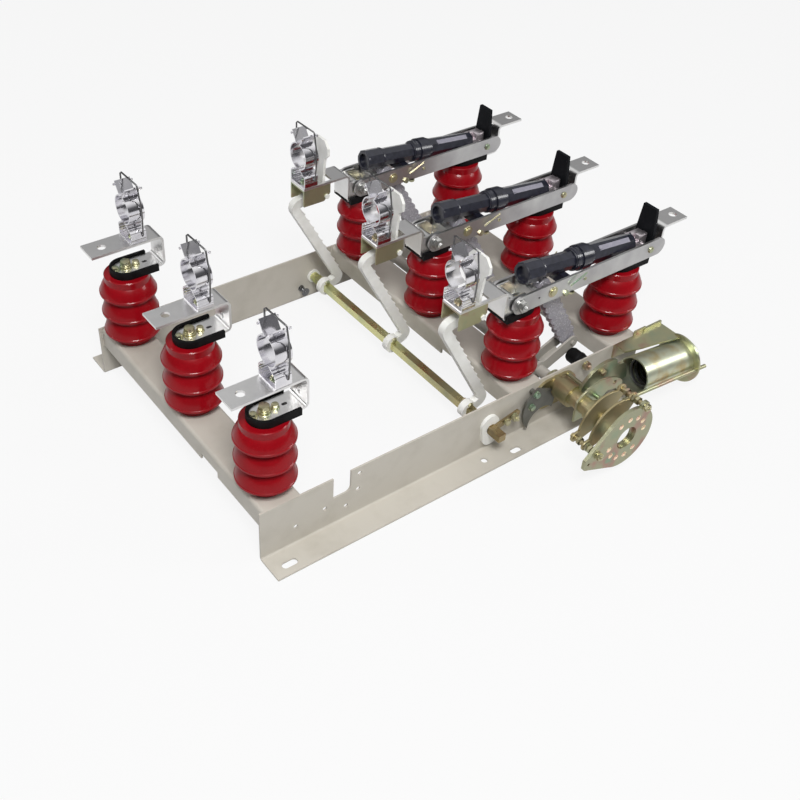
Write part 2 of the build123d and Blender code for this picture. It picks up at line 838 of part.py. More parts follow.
def shaft_bearings():
    """Flanged bearings for the drive shaft on the inside of both webs."""
    bearings = []
    for side in (-1, 1):
        through = (side * web_inner_y, side * (web_inner_y - bearing_sheet))
        bearing = rod_y(shaft_x, *through, shaft_z, bearing_r)
        bearing -= rod_y(shaft_x, through[0] + side, through[1] - side, shaft_z, shaft_r + running_gap)
        bearings.append(bearing)
    return Compound(children=bearings)


def trip_shaft():
    """The square trip bar with a round journal in each web and an arm at the drive end."""
    half = trip_bar / 2
    end = web_inner_y - trip_bar
    bar = box(trip_x - half, trip_x + half, -end, end, trip_z - half, trip_z + half)
    bar += rod_y(trip_x, -web_y - bush_flange_sheet, -end, trip_z, trip_journal_r)
    bar += rod_y(trip_x, end, web_y + trip_end, trip_z, trip_journal_r)
    face = web_y + bush_flange_sheet
    bar += box(trip_x - half, trip_x + half, -face - 2 * trip_bar, -face, trip_z - half, trip_z + half)
    arm = capsule(trip_x, trip_z, trip_x + trip_arm_length, trip_z + trip_arm_width, trip_arm_width / 2)
    start = -face - running_gap * 5
    return bar + plate_y(arm, start, start - trip_arm_sheet)


def lever_centre():
    """The lever's centre line: up past the elbow, over the top and on to its tip."""
    top = (striker_pin_x - lever_top_back, striker_pin_z - lever_top_below)
    tip = (striker_pin_x - lever_tip_back, striker_pin_z - lever_tip_below)
    elbow = (trip_x + lever_elbow_x, trip_z + lever_elbow_rise)
    return [(trip_x, trip_z), elbow, top, tip]


def trip_lever():
    """A white zig-zag lever on the trip bar, with a toothed inner edge on its long limb."""
    points = lever_centre()
    outline = trace(FilletPolyline(*points, radius=lever_bend_r), lever_width)
    outline += Pos(trip_x, trip_z) * Circle(lever_boss_r)
    (ex, ez), (tx, tz) = points[1], points[2]
    long = hypot(tx - ex, tz - ez)
    side_x = (tz - ez) / long * lever_width / 2
    side_z = -(tx - ex) / long * lever_width / 2
    for i in range(lever_teeth):
        t = (i + 1.5) / (lever_teeth + 2)
        place = Pos(ex + (tx - ex) * t + side_x, ez + (tz - ez) * t + side_z)
        outline += place * Circle(lever_tooth_r)
    outline -= Pos(trip_x, trip_z) * Rectangle(trip_bar, trip_bar)
    y0 = lever_offset - lever_thickness / 2
    return plate_y(outline, y0, y0 + lever_thickness)


def trip_bush(side):
    """A white flanged bush for the trip bar in one web."""
    collar = (side * web_y, side * (web_inner_y - bush_wall))
    face = (side * web_y, side * (web_y + bush_flange_sheet))
    flange = SlotOverall(bush_flange_length, bush_flange_width, rotation=bush_tilt)
    flange = Pos(trip_x, trip_z - bush_wall) * flange
    bush = rod_y(trip_x, *collar, trip_z, trip_journal_r + bush_wall) + plate_y(flange, *face)
    return bush - rod_y(trip_x, face[1] + side, collar[1] - side, trip_z, trip_journal_r + running_gap)


def drilled_disc():
    """The operating disc's outline with its tail, lug, bore and two arcs of holes."""
    outline = Circle(disc_r)
    tail = polygon(
        (-disc_tail_length, -disc_tail_drop - disc_tail_r),
        (-disc_tail_length, -disc_tail_drop + disc_tail_r),
        (-disc_r * 0.6, disc_r * 0.8),
        (0, 0),
        (-disc_r * 0.35, -disc_r * 0.93),
    )
    outline += fillet(tail.vertices().group_by(Axis.X)[0], disc_tail_r / 2)
    outline += Pos(*spacer_places[1]) * Circle(spacer_ear_r)
    outline -= Circle(disc_bore_r)
    for start in (5.0, 190.0):
        for i in range(disc_holes_each_side):
            angle = radians(start + disc_hole_step * i)
            place = Pos(disc_hole_ring_r * cos(angle), disc_hole_ring_r * sin(angle))
            outline -= place * Circle(disc_hole_r)
    outline -= Pos(-disc_tail_length + disc_tail_r, -disc_tail_drop) * Circle(disc_hole_r / 2)
    return Pos(shaft_x, shaft_z) * outline


def operating_disc():
    """The drilled disc with the narrower ring behind its bore."""
    front = -web_y - disc_out
    disc = plate_y(drilled_disc(), front, front - disc_sheet)
    ring = Pos(shaft_x, shaft_z) * (Circle(disc_ring_r) - Circle(disc_ring_bore_r))
    return disc + plate_y(ring, front, front + disc_ring_depth)


def ring_outline():
    """A crescent about the shaft with an arm out to each spacer bolt."""
    outline = Circle(ring_r) - Circle(ring_hole_r)
    outline -= Rot(0, 0, ring_open_angle) * Pos(0, -ring_r) * Rectangle(4 * ring_r, 2 * ring_r)
    for x, z in spacer_places:
        reach = hypot(x, z)
        inner = (ring_r + ring_hole_r) / 2 / reach
        outline += capsule(inner * x, inner * z, x, z, spacer_ear_r)
    return outline


def ring_plates():
    """Two crescent plates on spacer bolts behind the disc, the inner one on the sleeve."""
    outline = ring_outline()
    back, front = ring_outs
    outer_plate = Pos(shaft_x, shaft_z) * outline
    hub = Circle(sleeve_r + ring_sheet)
    spoke = Pos(ring_hole_r * 0.8, 0) * Rectangle(ring_hole_r * 0.8, ring_hole_r)
    hub += Rot(0, 0, ring_open_angle + 90) * spoke
    inner_plate = Pos(shaft_x, shaft_z) * (outline + hub - Circle(journal_r + running_gap))
    plates = plate_y(outer_plate, -web_y - front, -web_y - front - ring_sheet)
    plates += plate_y(inner_plate, -web_y - back, -web_y - back - ring_sheet)
    sleeve = Pos(shaft_x, shaft_z) * (Circle(sleeve_r) - Circle(journal_r + running_gap))
    plates += plate_y(sleeve, -web_y - sleeve_back, -web_y - sleeve_front)
    for x, z in spacer_places:
        plates += rod_y(shaft_x + x, -web_y - disc_out, -web_y - back + ring_sheet, shaft_z + z, spacer_r)
    return plates


def hub_journal():
    """The fixed bearing tube with its drum and its plate on the web; the sleeve turns on it."""
    end = -web_y - sleeve_front
    tube = rod_y(shaft_x, -web_y, end, shaft_z, journal_r)
    tube += rod_y(shaft_x, -web_y - drum_start, -web_y - cam_out, shaft_z, drum_r)
    plate = SlotOverall(journal_plate_length, journal_plate_width)
    plate = Pos(shaft_x, shaft_z - journal_plate_drop) * plate
    tube += plate_y(plate, -web_y, -web_y - journal_plate_sheet)
    return tube - rod_y(shaft_x, -web_y + 1, end - 1, shaft_z, journal_bore_r)


def spring_cam():
    """The spring's round cam plate behind the fan plate, notched where the spring's fork enters."""
    x = shaft_x + cam_past_shaft
    z = shaft_z - cam_drop
    cam = Pos(x, z) * Circle(cam_r)
    cam -= Pos(x + cam_r / 2, z - cam_r * 0.75) * Rectangle(cam_r * 2, cam_r * 1.5)
    cam += Pos(x, z) * Circle(cam_r / 3)
    cam -= Pos(x + cam_r * 0.62, z + cam_r * 0.86) * Circle(cam_r / 5)
    return plate_y(cam, -web_y - cam_out, -web_y - cam_out - cam_sheet)


def fan_plate():
    """The fan-shaped catch plate in front of the cam, held by the drum and a tie bar."""
    left = (shaft_x - fan_rise / 2, shaft_z + fan_rise / 3)
    right = (shaft_x + fan_right, shaft_z + fan_rise / 3)
    crown = ThreePointArc(left, (shaft_x + fan_right / 2, shaft_z + fan_rise), right)
    low = Polyline(
        right,
        (shaft_x + fan_right, shaft_z - fan_drop),
        (shaft_x - fan_rise / 2, shaft_z - fan_drop),
        left,
    )
    fan = make_face([crown, low])
    fan -= Pos(shaft_x + fan_right * 0.77, shaft_z + fan_rise / 2) * Circle(tie_bar_r)
    window = SlotOverall(fan_rise, fan_rise / 2, rotation=-12)
    fan -= Pos(shaft_x + fan_right * 0.7, shaft_z - fan_drop / 6) * window
    fan -= Pos(shaft_x, shaft_z) * Circle(journal_r)
    return plate_y(fan, -web_y - fan_out, -web_y - fan_out - fan_sheet)


def spring_plates():
    """Cam and fan plate on their tie bar from the web."""
    x = shaft_x + tie_bar_past_shaft
    z = shaft_z + tie_bar_rise
    web_side = -web_y - journal_plate_sheet
    plates = spring_cam() + fan_plate()
    plates += rod_y(x, web_side, -web_y - tie_bar_length, z, tie_bar_r)
    return plates - rod_y(shaft_x, -web_y, -web_y - sleeve_back, shaft_z, journal_r)


def spring_cylinder():
    """The spring cylinder: a tube open to the front, its end cap and the stud that carries it."""
    length = cylinder_length
    inner_r = cylinder_r - cylinder_wall
    below = (Align.CENTER, Align.CENTER, Align.MAX)
    above = (Align.CENTER, Align.CENTER, Align.MIN)
    tube = Cylinder(cylinder_r, length, align=below)
    tube -= Pos(0, 0, -cylinder_wall) * Cylinder(inner_r, length, align=below)
    tube += Cylinder(inner_r, cylinder_cap_length, align=above)
    rim = Pos(0, 0, cylinder_cap_length) * Cylinder(cylinder_r, cylinder_cap_length / 2)
    tube += rim
    stud = Pos(0, cylinder_r / 3, cylinder_cap_length + cylinder_cap_length / 4)
    tube += stud * Cylinder(cylinder_stud_r, cylinder_stud, align=above)
    place = Pos(shaft_x + bracket_end - bracket_sheet, cylinder_y, cylinder_z)
    return place * Rot(0, 90 + cylinder_tilt, 0) * Rot(0, 0, 90) * tube


def bracket_arch():
    """The end plate's outline in Y and Z: an arm from the web that bends round the cylinder."""
    outer = cylinder_r + bracket_band
    top = shaft_z + bracket_top
    arch = Pos(cylinder_y, cylinder_z) * Circle(outer)
    arch += box_face(cylinder_y, -web_y, cylinder_z, top)
    arch -= Pos(cylinder_y, cylinder_z) * Circle(cylinder_r + seat_gap)
    return arch


def box_face(x0, x1, z0, z1):
    """A rectangle between two corners, as a face."""
    return Pos((x0 + x1) / 2, (z0 + z1) / 2) * Rectangle(abs(x1 - x0), abs(z1 - z0))


def mechanism_bracket():
    """The zinc bracket: a strip on the web, bent round to an end plate that holds the cylinder."""
    x0 = shaft_x + bracket_start
    x1 = shaft_x + bracket_end
    top = shaft_z + bracket_top
    sheet = bracket_sheet
    bracket = box(x0, x1, -web_y, -web_y - sheet, top - bracket_strip, top)
    step_x = x1 - bracket_step
    bracket += box(step_x, x1, -web_y, -web_y - sheet, top - sheet, top + bracket_step_rise)
    bracket += plate_x(bracket_arch(), x1 - sheet, x1)
    lug_y = -web_y - tie_rod_out
    lug_z = shaft_z - tie_rod_drop
    reach = cylinder_r + bracket_band / 2
    lug = capsule(cylinder_y - reach, lug_z, lug_y, lug_z, bracket_band / 2)
    lug -= Pos(cylinder_y, cylinder_z) * Circle(cylinder_r + seat_gap)
    return bracket + plate_x(lug, x1 - sheet, x1) + tie_rod()


def tie_rod():
    """The threaded rod from the end plate's lug forward, past the cylinder to the crescents."""
    below = (Align.CENTER, Align.CENTER, Align.MAX)
    rod = Cylinder(tie_rod_r, tie_rod_length + tie_rod_past, align=below)
    rod = Pos(0, 0, tie_rod_past) * rod
    place = Pos(shaft_x + bracket_end, -web_y - tie_rod_out, shaft_z - tie_rod_drop)
    return place * Rot(0, 90 + tie_rod_tilt, 0) * rod


def sickle_plate():
    """The dark curved trip plate on two spacers in front of the web."""
    tip, back_middle, shoulder, peak, heel, throat_start, throat_middle = sickle_corners
    back = ThreePointArc(tip, back_middle, shoulder)
    top = Polyline(shoulder, peak, heel, throat_start)
    throat = ThreePointArc(throat_start, throat_middle, tip)
    outline = make_face([back, top, throat]) - Circle(sleeve_r)
    outline = Pos(shaft_x, shaft_z) * outline
    plate = plate_y(outline, -web_y - sickle_out, -web_y - sickle_out - sickle_sheet)
    for x, z in sickle_spacers:
        plate += rod_y(shaft_x + x, -web_y, -web_y - sickle_out, shaft_z + z, spacer_r)
    return plate


def build():
    """Every named piece of the switch."""
    nodes = {
        "near_side_beam": near_side_beam(),
        "far_side_beam": far_side_beam(),
        "front_channel": cross_channel(front_row_x - 3, -1),
        "middle_channel": cross_channel(middle_row_x, -1),
        "rear_channel": cross_channel(rear_row_x, 1),
        "front_insulators": row_of(insulator, front_row_x),
        "middle_insulators": row_of(insulator, middle_row_x),
        "rear_insulators": row_of(insulator, rear_row_x),
        "front_boots": row_of(boot, front_row_x, 1),
        "middle_boots": row_of(boot, middle_row_x, -1),
        "rear_boots": row_of(boot, rear_row_x, 1),
        "front_terminals": row_of(front_terminal),
        "middle_terminals": row_of(middle_terminal),
        "rear_terminals": row_of(rear_terminal),
        "fuse_clips": both_rows(fuse_clip),
        "clip_bails": both_rows(clip_bail),
        "striker_hangers": row_of(striker_hanger),
        "pivot_pins": row_of(pivot_pin),
        "rear_fins": row_of(rear_fin),
        "drive_shaft": drive_shaft(),
        "drive_cranks": row_of(crank),
        "shaft_bearings": shaft_bearings(),
        "trip_shaft": trip_shaft(),
        "trip_levers": row_of(trip_lever),
        "trip_bushes": Compound(children=[trip_bush(-1), trip_bush(1)]),
        "hub_journal": hub_journal(),
        "operating_disc": operating_disc(),
        "ring_plates": ring_plates(),
        "spring_plates": spring_plates(),
        "spring_cylinder": spring_cylinder(),
        "mechanism_bracket": mechanism_bracket(),
        "sickle_plate": sickle_plate(),
    }
    nodes.update(phase_nodes("striker_plate", striker_plate))
    nodes.update(phase_nodes("blade", blade))
    nodes.update(phase_nodes("arc_tube", arc_tube))
    nodes.update(phase_nodes("link", link))
    return nodes


os.makedirs("parts", exist_ok=True)
for name, solid in build().items():
    export_step(solid, f"parts/{name}.step")
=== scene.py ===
from math import cos, pi, radians, sin, tan

import bmesh
import bpy
from mathutils import Matrix, Vector


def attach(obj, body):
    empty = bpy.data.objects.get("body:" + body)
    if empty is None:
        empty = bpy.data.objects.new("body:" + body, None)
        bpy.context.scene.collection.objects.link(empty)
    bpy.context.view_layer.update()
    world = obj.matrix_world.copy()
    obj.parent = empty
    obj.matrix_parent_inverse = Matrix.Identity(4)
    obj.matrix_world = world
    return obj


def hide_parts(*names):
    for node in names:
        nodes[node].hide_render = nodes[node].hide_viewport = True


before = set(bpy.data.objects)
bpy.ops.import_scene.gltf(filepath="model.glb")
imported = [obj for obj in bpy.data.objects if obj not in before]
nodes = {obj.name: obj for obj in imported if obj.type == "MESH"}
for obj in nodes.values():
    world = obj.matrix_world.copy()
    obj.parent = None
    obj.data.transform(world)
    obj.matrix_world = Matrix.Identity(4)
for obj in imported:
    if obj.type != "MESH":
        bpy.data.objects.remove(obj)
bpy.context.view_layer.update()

scene = bpy.context.scene


# Side beams and cross channels
# Bent steel sheet, welded into one frame and sprayed with a warm light grey enamel. The enamel
# has a faint orange peel and a little dust in the corners. Feet turn outward, with slots.


class Tone:
    """An output in a material's nodes. Sums on it add Math nodes, node() adds any other kind."""

    def __init__(self, tree, output):
        self.tree = tree
        self.output = output

    def node(self, kind, settings, values, out=0):
        made = self.tree.nodes.new(kind)
        for name, value in settings.items():
            if name == "stops":
                ramp = made.color_ramp
                ramp.elements.remove(ramp.elements[1])
                ramp.elements[0].position = value[0][0]
                ramp.elements[0].color = (*value[0][1], 1.0)
                for place, colour in value[1:]:
                    ramp.elements.new(place).color = (*colour, 1.0)
            else:
                setattr(made, name, value)
        for name, value in values.items():
            if isinstance(value, Tone):
                self.tree.links.new(value.output, made.inputs[name])
            else:
                made.inputs[name].default_value = value
        return Tone(self.tree, made.outputs[out])

    def sum(self, operation, a, b):
        return self.node("ShaderNodeMath", {"operation": operation}, {0: a, 1: b})

    def __add__(self, other):
        return self.sum("ADD", self, other)

    def __radd__(self, other):
        return self.sum("ADD", other, self)

    def __rsub__(self, other):
        return self.sum("SUBTRACT", other, self)

    def __mul__(self, other):
        return self.sum("MULTIPLY", self, other)

    def __rmul__(self, other):
        return self.sum("MULTIPLY", other, self)

    def over(self, low, high):
        """This value stretched so that low becomes 0 and high becomes 1, and held between them."""
        values = {"Value": self, "From Min": low, "From Max": high}
        return self.node("ShaderNodeMapRange", {}, values)

    def stretched(self, x, y, z):
        """This place scaled along each axis."""
        return self.node("ShaderNodeVectorMath", {"operation": "MULTIPLY"}, {0: self, 1: (x, y, z)})

    def noise(self, scale, detail=3.0):
        return self.node("ShaderNodeTexNoise", {}, {"Vector": self, "Scale": scale, "Detail": detail})

    def cells(self, scale, out=0):
        return self.node("ShaderNodeTexVoronoi", {}, {"Vector": self, "Scale": scale}, out)

    def ramp(self, *stops):
        return self.node("ShaderNodeValToRGB", {"stops": stops}, {0: self})

    def between(self, first, second):
        """A colour mixed from first to second as this value goes from 0 to 1."""
        colours = [c if isinstance(c, Tone) else (*c, 1.0) for c in (first, second)]
        return self.node("ShaderNodeMix", {"data_type": "RGBA"}, {0: self, 6: colours[0], 7: colours[1]}, 2)

    def axis(self, index):
        """One coordinate of this place: 0, 1 or 2 for X, Y or Z."""
        return self.node("ShaderNodeSeparateXYZ", {}, {0: self}, index)

    def bump(self, distance, strength):
        return self.node("ShaderNodeBump", {}, {"Height": self, "Distance": distance, "Strength": strength})


def new_finish(name, **fixed):
    """A material with its uniform values set, and the place on the object in metres."""
    material = bpy.data.materials.new(name)
    material.use_nodes = True
    tree = material.node_tree
    shader = tree.nodes["Principled BSDF"]
    for socket, value in fixed.items():
        shader.inputs[socket.replace("_", " ").title().replace("Ior", "IOR")].default_value = value
    place = Tone(tree, tree.nodes.new("ShaderNodeTexCoord").outputs["Object"])
    return material, place


def feed(material, **varying):
    """Links what changes over the surface to the material's shader."""
    tree = material.node_tree
    shader = tree.nodes["Principled BSDF"]
    for socket, tone in varying.items():
        tree.links.new(tone.output, shader.inputs[socket.replace("_", " ").title()])
    return material


def coat_node(material, *names):
    """Gives CAD nodes their finish."""
    for name in names:
        for slot in nodes[name].material_slots:
            slot.material = material


def enamel_finish(name, colour, dust):
    """Sprayed enamel with dust in soft clouds and a faint orange peel."""
    material, place = new_finish(name, specular_ior_level=0.45)
    clouds = place.noise(9.0, 5.0)
    grime = (place.noise(34.0, 6.0) * clouds).over(0.22, 0.5)
    peel = place.noise(900.0, 2.0)
    return feed(
        material,
        base_color=grime.between(colour, dust),
        roughness=0.36 + 0.12 * place.noise(60.0, 4.0),
        normal=peel.bump(0.00012, 0.35),
    )


enamel = enamel_finish("warm grey enamel", (0.54, 0.51, 0.45), (0.46, 0.43, 0.37))
coat_node(enamel, "near_side_beam", "far_side_beam", "front_channel", "middle_channel", "rear_channel")


def standing(at, along):
    """The transform that sets the origin at a point and +Z along a direction."""
    return Matrix.Translation(at) @ Vector(along).to_track_quat("Z", "Y").to_matrix().to_4x4()


class Work:
    """Mesh that grows shape by shape and then becomes one named piece on a body."""

    def __init__(self):
        self.mesh = bmesh.new()

    def rows(self, rows, closed=False, caps=False):
        """Joins rings of points into a skin. A ring of one point closes to a tip."""
        rings = [[self.mesh.verts.new(point) for point in row] for row in rows]
        pairs = list(zip(rings, rings[1:]))
        if closed:
            pairs.append((rings[-1], rings[0]))
        for low, high in pairs:
            count = max(len(low), len(high))
            for i in range(count):
                j = (i + 1) % count
                face = []
                for ring, k in ((low, i), (low, j), (high, j), (high, i)):
                    corner = ring[k % len(ring)]
                    if corner not in face:
                        face.append(corner)
                if len(face) > 2:
                    self.mesh.faces.new(face)
        if caps:
            self.mesh.faces.new(list(reversed(rings[0])))
            self.mesh.faces.new(rings[-1])

    def turned(self, outline, at, along=(0, 0, 1), steps=40, closed=False):
        """An outline of (radius, height) pairs turned about an axis through a point."""
        place = standing(at, along)
        rows = []
        for radius, height in outline:
            if radius == 0.0:
                rows.append([place @ Vector((0, 0, height))])
                continue
            ring = []
            for i in range(steps):
                a = 2 * pi * i / steps
                ring.append(place @ Vector((radius * cos(a), radius * sin(a), height)))
            rows.append(ring)
        self.rows(rows, closed)

    def hexagon(self, across, height, at, along, turn):
        """A hexagon head or nut with its corners turned off at the top."""
        place = standing(at, along)
        flat = across / 2
        steps = 36
        corner_drop = tan(radians(30)) * 1.6
        rows = [[], [], []]
        for i in range(steps):
            a = 2 * pi * i / steps
            corner = (a + pi / 6) % (pi / 3) - pi / 6
            reach = flat / cos(corner)
            top = height - (reach - flat) * corner_drop
            for row, radius, z in ((0, reach, 0.0), (1, reach, top), (2, flat * 0.94, height)):
                rows[row].append(place @ Vector((radius * cos(a + turn), radius * sin(a + turn), z)))
        rows.append([place @ Vector((0, 0, height))])
        self.rows(rows)

    def washer(self, bore, outer, thickness, at, along=(0, 0, 1)):
        edge = thickness * 0.2
        outline = [
            (bore, 0.0),
            (outer - edge, 0.0),
            (outer, edge),
            (outer, thickness - edge),
            (outer - edge, thickness),
            (bore, thickness),
        ]
        self.turned(outline, at, along, closed=True)

    def thread(self, radius, length, pitch, at, along):
        """A threaded end with a chamfered tip."""
        outline = []
        count = int(length / pitch)
        for i in range(count):
            outline.append((radius, i * pitch))
            outline.append((radius * 0.86, (i + 0.5) * pitch))
        tip = count * pitch + radius * 0.25
        outline.append((radius * 0.95, count * pitch))
        outline.append((radius * 0.7, tip))
        outline.append((0.0, tip))
        self.turned(outline, at, along, steps=24)

    def bolt(self, size, at, along=(0, 0, 1), end=0.0, washer=True, turn=0.3):
        """A hexagon bolt on washer and spring washer. A bolt with an end shows its nut's thread."""
        across = size * 1.65
        height = size * 0.68
        normal = Vector(along).normalized()
        base = Vector(at)
        if washer:
            for outer, thickness in ((1.05, 0.14), (0.86, 0.2)):
                self.washer(size * 0.5, size * outer, size * thickness, base, along)
                base = base + normal * size * thickness
        self.hexagon(across, height, base, along, turn)
        if end > 0:
            self.thread(size / 2, end, size * 0.14, base + normal * height * 0.95, along)

    def block(self, x0, x1, y0, y1, z0, z1, edge):
        """A block between two values of each axis, with its edges broken."""
        made = bmesh.ops.create_cube(self.mesh, size=1.0)["verts"]
        middle = Vector(((x0 + x1) / 2, (y0 + y1) / 2, (z0 + z1) / 2))
        sizes = Vector((x1 - x0, y1 - y0, z1 - z0))
        for vert in made:
            vert.co = Vector((vert.co.x * sizes.x, vert.co.y * sizes.y, vert.co.z * sizes.z)) + middle
        edges = list({e for vert in made for e in vert.link_edges})
        bmesh.ops.bevel(self.mesh, geom=edges, offset=edge, segments=2, affect="EDGES", profile=0.5)

    def tube(self, points, radius, steps):
        """A round wire through points, square to its path at each."""
        rows = []
        side = Vector((0.3, 0.2, 1.0))
        for i, point in enumerate(points):
            ahead = Vector(points[min(i + 1, len(points) - 1)]) - Vector(points[max(i - 1, 0)])
            ahead.normalize()
            side = (side - ahead * side.dot(ahead)).normalized()
            other = ahead.cross(side)
            ring = []
            for k in range(steps):
                a = 2 * pi * k / steps
                ring.append(Vector(point) + side * radius * cos(a) + other * radius * sin(a))
            rows.append(ring)
        self.rows(rows, caps=True)

    def piece(self, name, material, body, sharp=35.0):
        """Ends the mesh as one object with its finish, riding on a body."""
        bmesh.ops.recalc_face_normals(self.mesh, faces=self.mesh.faces)
        for face in self.mesh.faces:
            face.smooth = True
        data = bpy.data.meshes.new(name)
        self.mesh.to_mesh(data)
        self.mesh.free()
        data.set_sharp_from_angle(angle=radians(sharp))
        data.materials.append(material)
        made = bpy.data.objects.new(name, data)
        scene.collection.objects.link(made)
        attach(made, body)
        return made


phase_places = (-0.210, 0.0, 0.210)
phases = ("near", "middle", "far")
front_x, middle_x, rear_x = -0.350, 0.123, 0.351
web_y = 0.260
frame_top = 0.098

weld_r, weld_out, weld_half = 0.0014, 0.0006, 0.006
web_face = web_y - 0.0035
channel_ends = ((-0.387, -0.319), (0.089, 0.157), (0.317, 0.385))
welds = Work()
for ends in channel_ends:
    for y in (-web_face, web_face):
        for z in (0.066, 0.084):
            for x, out in zip(ends, (-weld_out, weld_out)):
                run = [(x + out, y, z + weld_half * (i - 4) / 4) for i in range(9)]
                welds.tube(run, weld_r, 8)
welds.piece("channel_weld_beads", enamel, "frame")


# Post insulators
# Nine cast epoxy posts, deep red and glossy, each with three wide sheds, a plain cap and a foot.
# A steel insert in each end takes the bolt.

epoxy, place = new_finish("red cast epoxy", coat_weight=0.22, coat_roughness=0.07, specular_ior_level=0.15)
depth = place.noise(22.0, 4.0)
speck = place.noise(420.0, 2.0).over(0.62, 0.75)
red = (depth * 0.8 + 0.1).between((0.185, 0.001, 0.0035), (0.34, 0.003, 0.009))
feed(
    epoxy,
    base_color=(speck * 0.15).between(red, (0.50, 0.05, 0.06)),
    roughness=0.24 + 0.14 * depth,
    normal=place.noise(260.0, 2.0).bump(0.00025, 0.25),
)


def shed_curve(start, through, end, count):
    """Points of a smooth curve through three places, without its first."""
    points = []
    for i in range(1, count + 1):
        t = i / count
        a, b, c = (1 - t) * (1 - 2 * t), 4 * t * (1 - t), t * (2 * t - 1)
        points.append(tuple(a * s + b * m + c * e for s, m, e in zip(start, through, end)))
    return points


def insulator_outline():
    """Radius and height from the foot up to the middle of the cap."""
    shed_r, core_r, foot_r, cap_r = 0.0466, 0.0365, 0.031, 0.0365
    first_shed, shed_pitch, post_height = 0.021, 0.038, 0.130
    rim, lip, edge = 0.0017, 0.001, 0.0012
    outline = [(0.0, 0.0), (foot_r - lip, 0.0), (foot_r, lip)]
    outline += [(foot_r + lip, 0.0105), (core_r - lip, 0.0125)]
    for i in range(3):
        z = first_shed + shed_pitch * i
        over = (shed_r - lip, z + rim + lip)
        outline.append((core_r, z - 0.008))
        outline.append((shed_r - lip, z - rim - lip))
        outline.append((shed_r, z - rim))
        outline.append((shed_r, z + rim))
        outline.append(over)
        if i < 2:
            outline += shed_curve(over, (core_r + 0.0055, z + 0.0143), (core_r, z + 0.026), 12)
        else:
            outline += shed_curve(over, ((cap_r + shed_r) / 2, z + 0.013), (cap_r, z + 0.0208), 12)
    outline += [(cap_r, post_height - edge), (cap_r - edge, post_height), (0.0, post_height)]
    return outline


for row, x in (("front", front_x), ("middle", middle_x), ("rear", rear_x)):
    posts = Work()
    for y in phase_places:
        posts.turned(insulator_outline(), (x, y, frame_top), steps=96)
    made = posts.piece(f"{row}_red_posts", epoxy, "frame", sharp=24.0)
    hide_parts(f"{row}_insulators")


# Rubber boots
# Black moulded rubber cups on the insulator caps. Each wraps the strap's tail with a raised rim
# and is open at the strap's run-out side.

rubber, place = new_finish("black rubber", specular_ior_level=0.12)
bloom = place.noise(70.0, 5.0)
feed(
    rubber,
    base_color=bloom.over(0.35, 0.8).between((0.003, 0.003, 0.0035), (0.010, 0.010, 0.0105)),
    roughness=0.5 + 0.2 * bloom,
    normal=place.noise(1400.0, 2.0).bump(0.0001, 0.4),
)
coat_node(rubber, "front_boots", "middle_boots", "rear_boots")


# Contact straps
# Flat copper bars, tin plated and bent cold, with rolling lines along them and faint smudges.
# A large bolt and two small ones hold each front strap to its post, two bolts each rear strap
# and one bolt each middle strap. The bolts and washers are zinc plated.


def plated_finish(name, colour, shade, roughness, grain):
    """Rolled and plated metal with fine lines that run along X."""
    material, place = new_finish(name, metallic=1.0)
    lines = place.stretched(14.0, 700.0, 700.0).noise(1.0, 4.0)
    smudge = place.noise(26.0, 5.0)
    return feed(
        material,
        base_color=smudge.over(0.3, 0.72).between(colour, shade),
        roughness=roughness + 0.14 * smudge + 0.08 * lines,
        normal=lines.bump(0.00008, grain),
    )


tinned = plated_finish("tin plated copper", (0.90, 0.89, 0.88), (0.76, 0.76, 0.755), 0.22, 0.3)
coat_node(tinned, "front_terminals", "middle_terminals", "rear_terminals")


def zinc_finish(name, light, green, pink, roughness):
    """Passivated zinc plate, whose thin film shifts from yellow to green and pink."""
    material, place = new_finish(name, metallic=0.88)
    film = place.noise(30.0, 2.0)
    drift = (film * 0.6 + place.noise(12.0, 1.0) * 0.5).over(0.36, 0.76)
    colour = drift.ramp((0.0, green), (0.4, light), (0.6, light), (0.85, pink), (1.0, green))
    return feed(
        material,
        base_color=colour,
        roughness=roughness + 0.12 * place.noise(60.0, 2.0),
    )


bolt_zinc = zinc_finish(
    "zinc plated bolts", (0.50, 0.47, 0.30), (0.30, 0.42, 0.31), (0.50, 0.34, 0.26), 0.26
)

strap_top = 0.236
wide_washer, thick_washer, small_washer = 0.0018, 0.0026, 0.0014
side_bolt_out = 0.0178
front_bolts = Work()
for y in phase_places:
    front_bolts.washer(0.005, 0.0105, wide_washer, (front_x, y, strap_top))
    front_bolts.washer(0.005, 0.0082, thick_washer, (front_x, y, strap_top + wide_washer))
    front_bolts.bolt(0.0088, (front_x, y, strap_top + wide_washer + thick_washer))
    for x in (front_x - side_bolt_out, front_x + side_bolt_out):
        front_bolts.washer(0.003, 0.0068, small_washer, (x, y, strap_top))
        front_bolts.bolt(0.0058, (x, y, strap_top + small_washer), turn=0.1)
front_bolts.piece("front_strap_bolts", bolt_zinc, "frame")

rear_bolts = Work()
for y in phase_places:
    for dx in (-0.006, 0.020):
        rear_bolts.bolt(0.009, (rear_x + dx, y, strap_top))
rear_bolts.piece("rear_strap_bolts", bolt_zinc, "frame")

middle_bolts = Work()
for y in phase_places:
    middle_bolts.bolt(0.010, (middle_x, y, strap_top))
middle_bolts.piece("middle_strap_bolts", bolt_zinc, "frame")


# Fuse clips
# Two hard copper leaves for each ferrule, bright silver plated, pressed with stiffening ribs and
# held to the fuse plate by a pan head screw through the feet. Small prongs stand at the mouth.

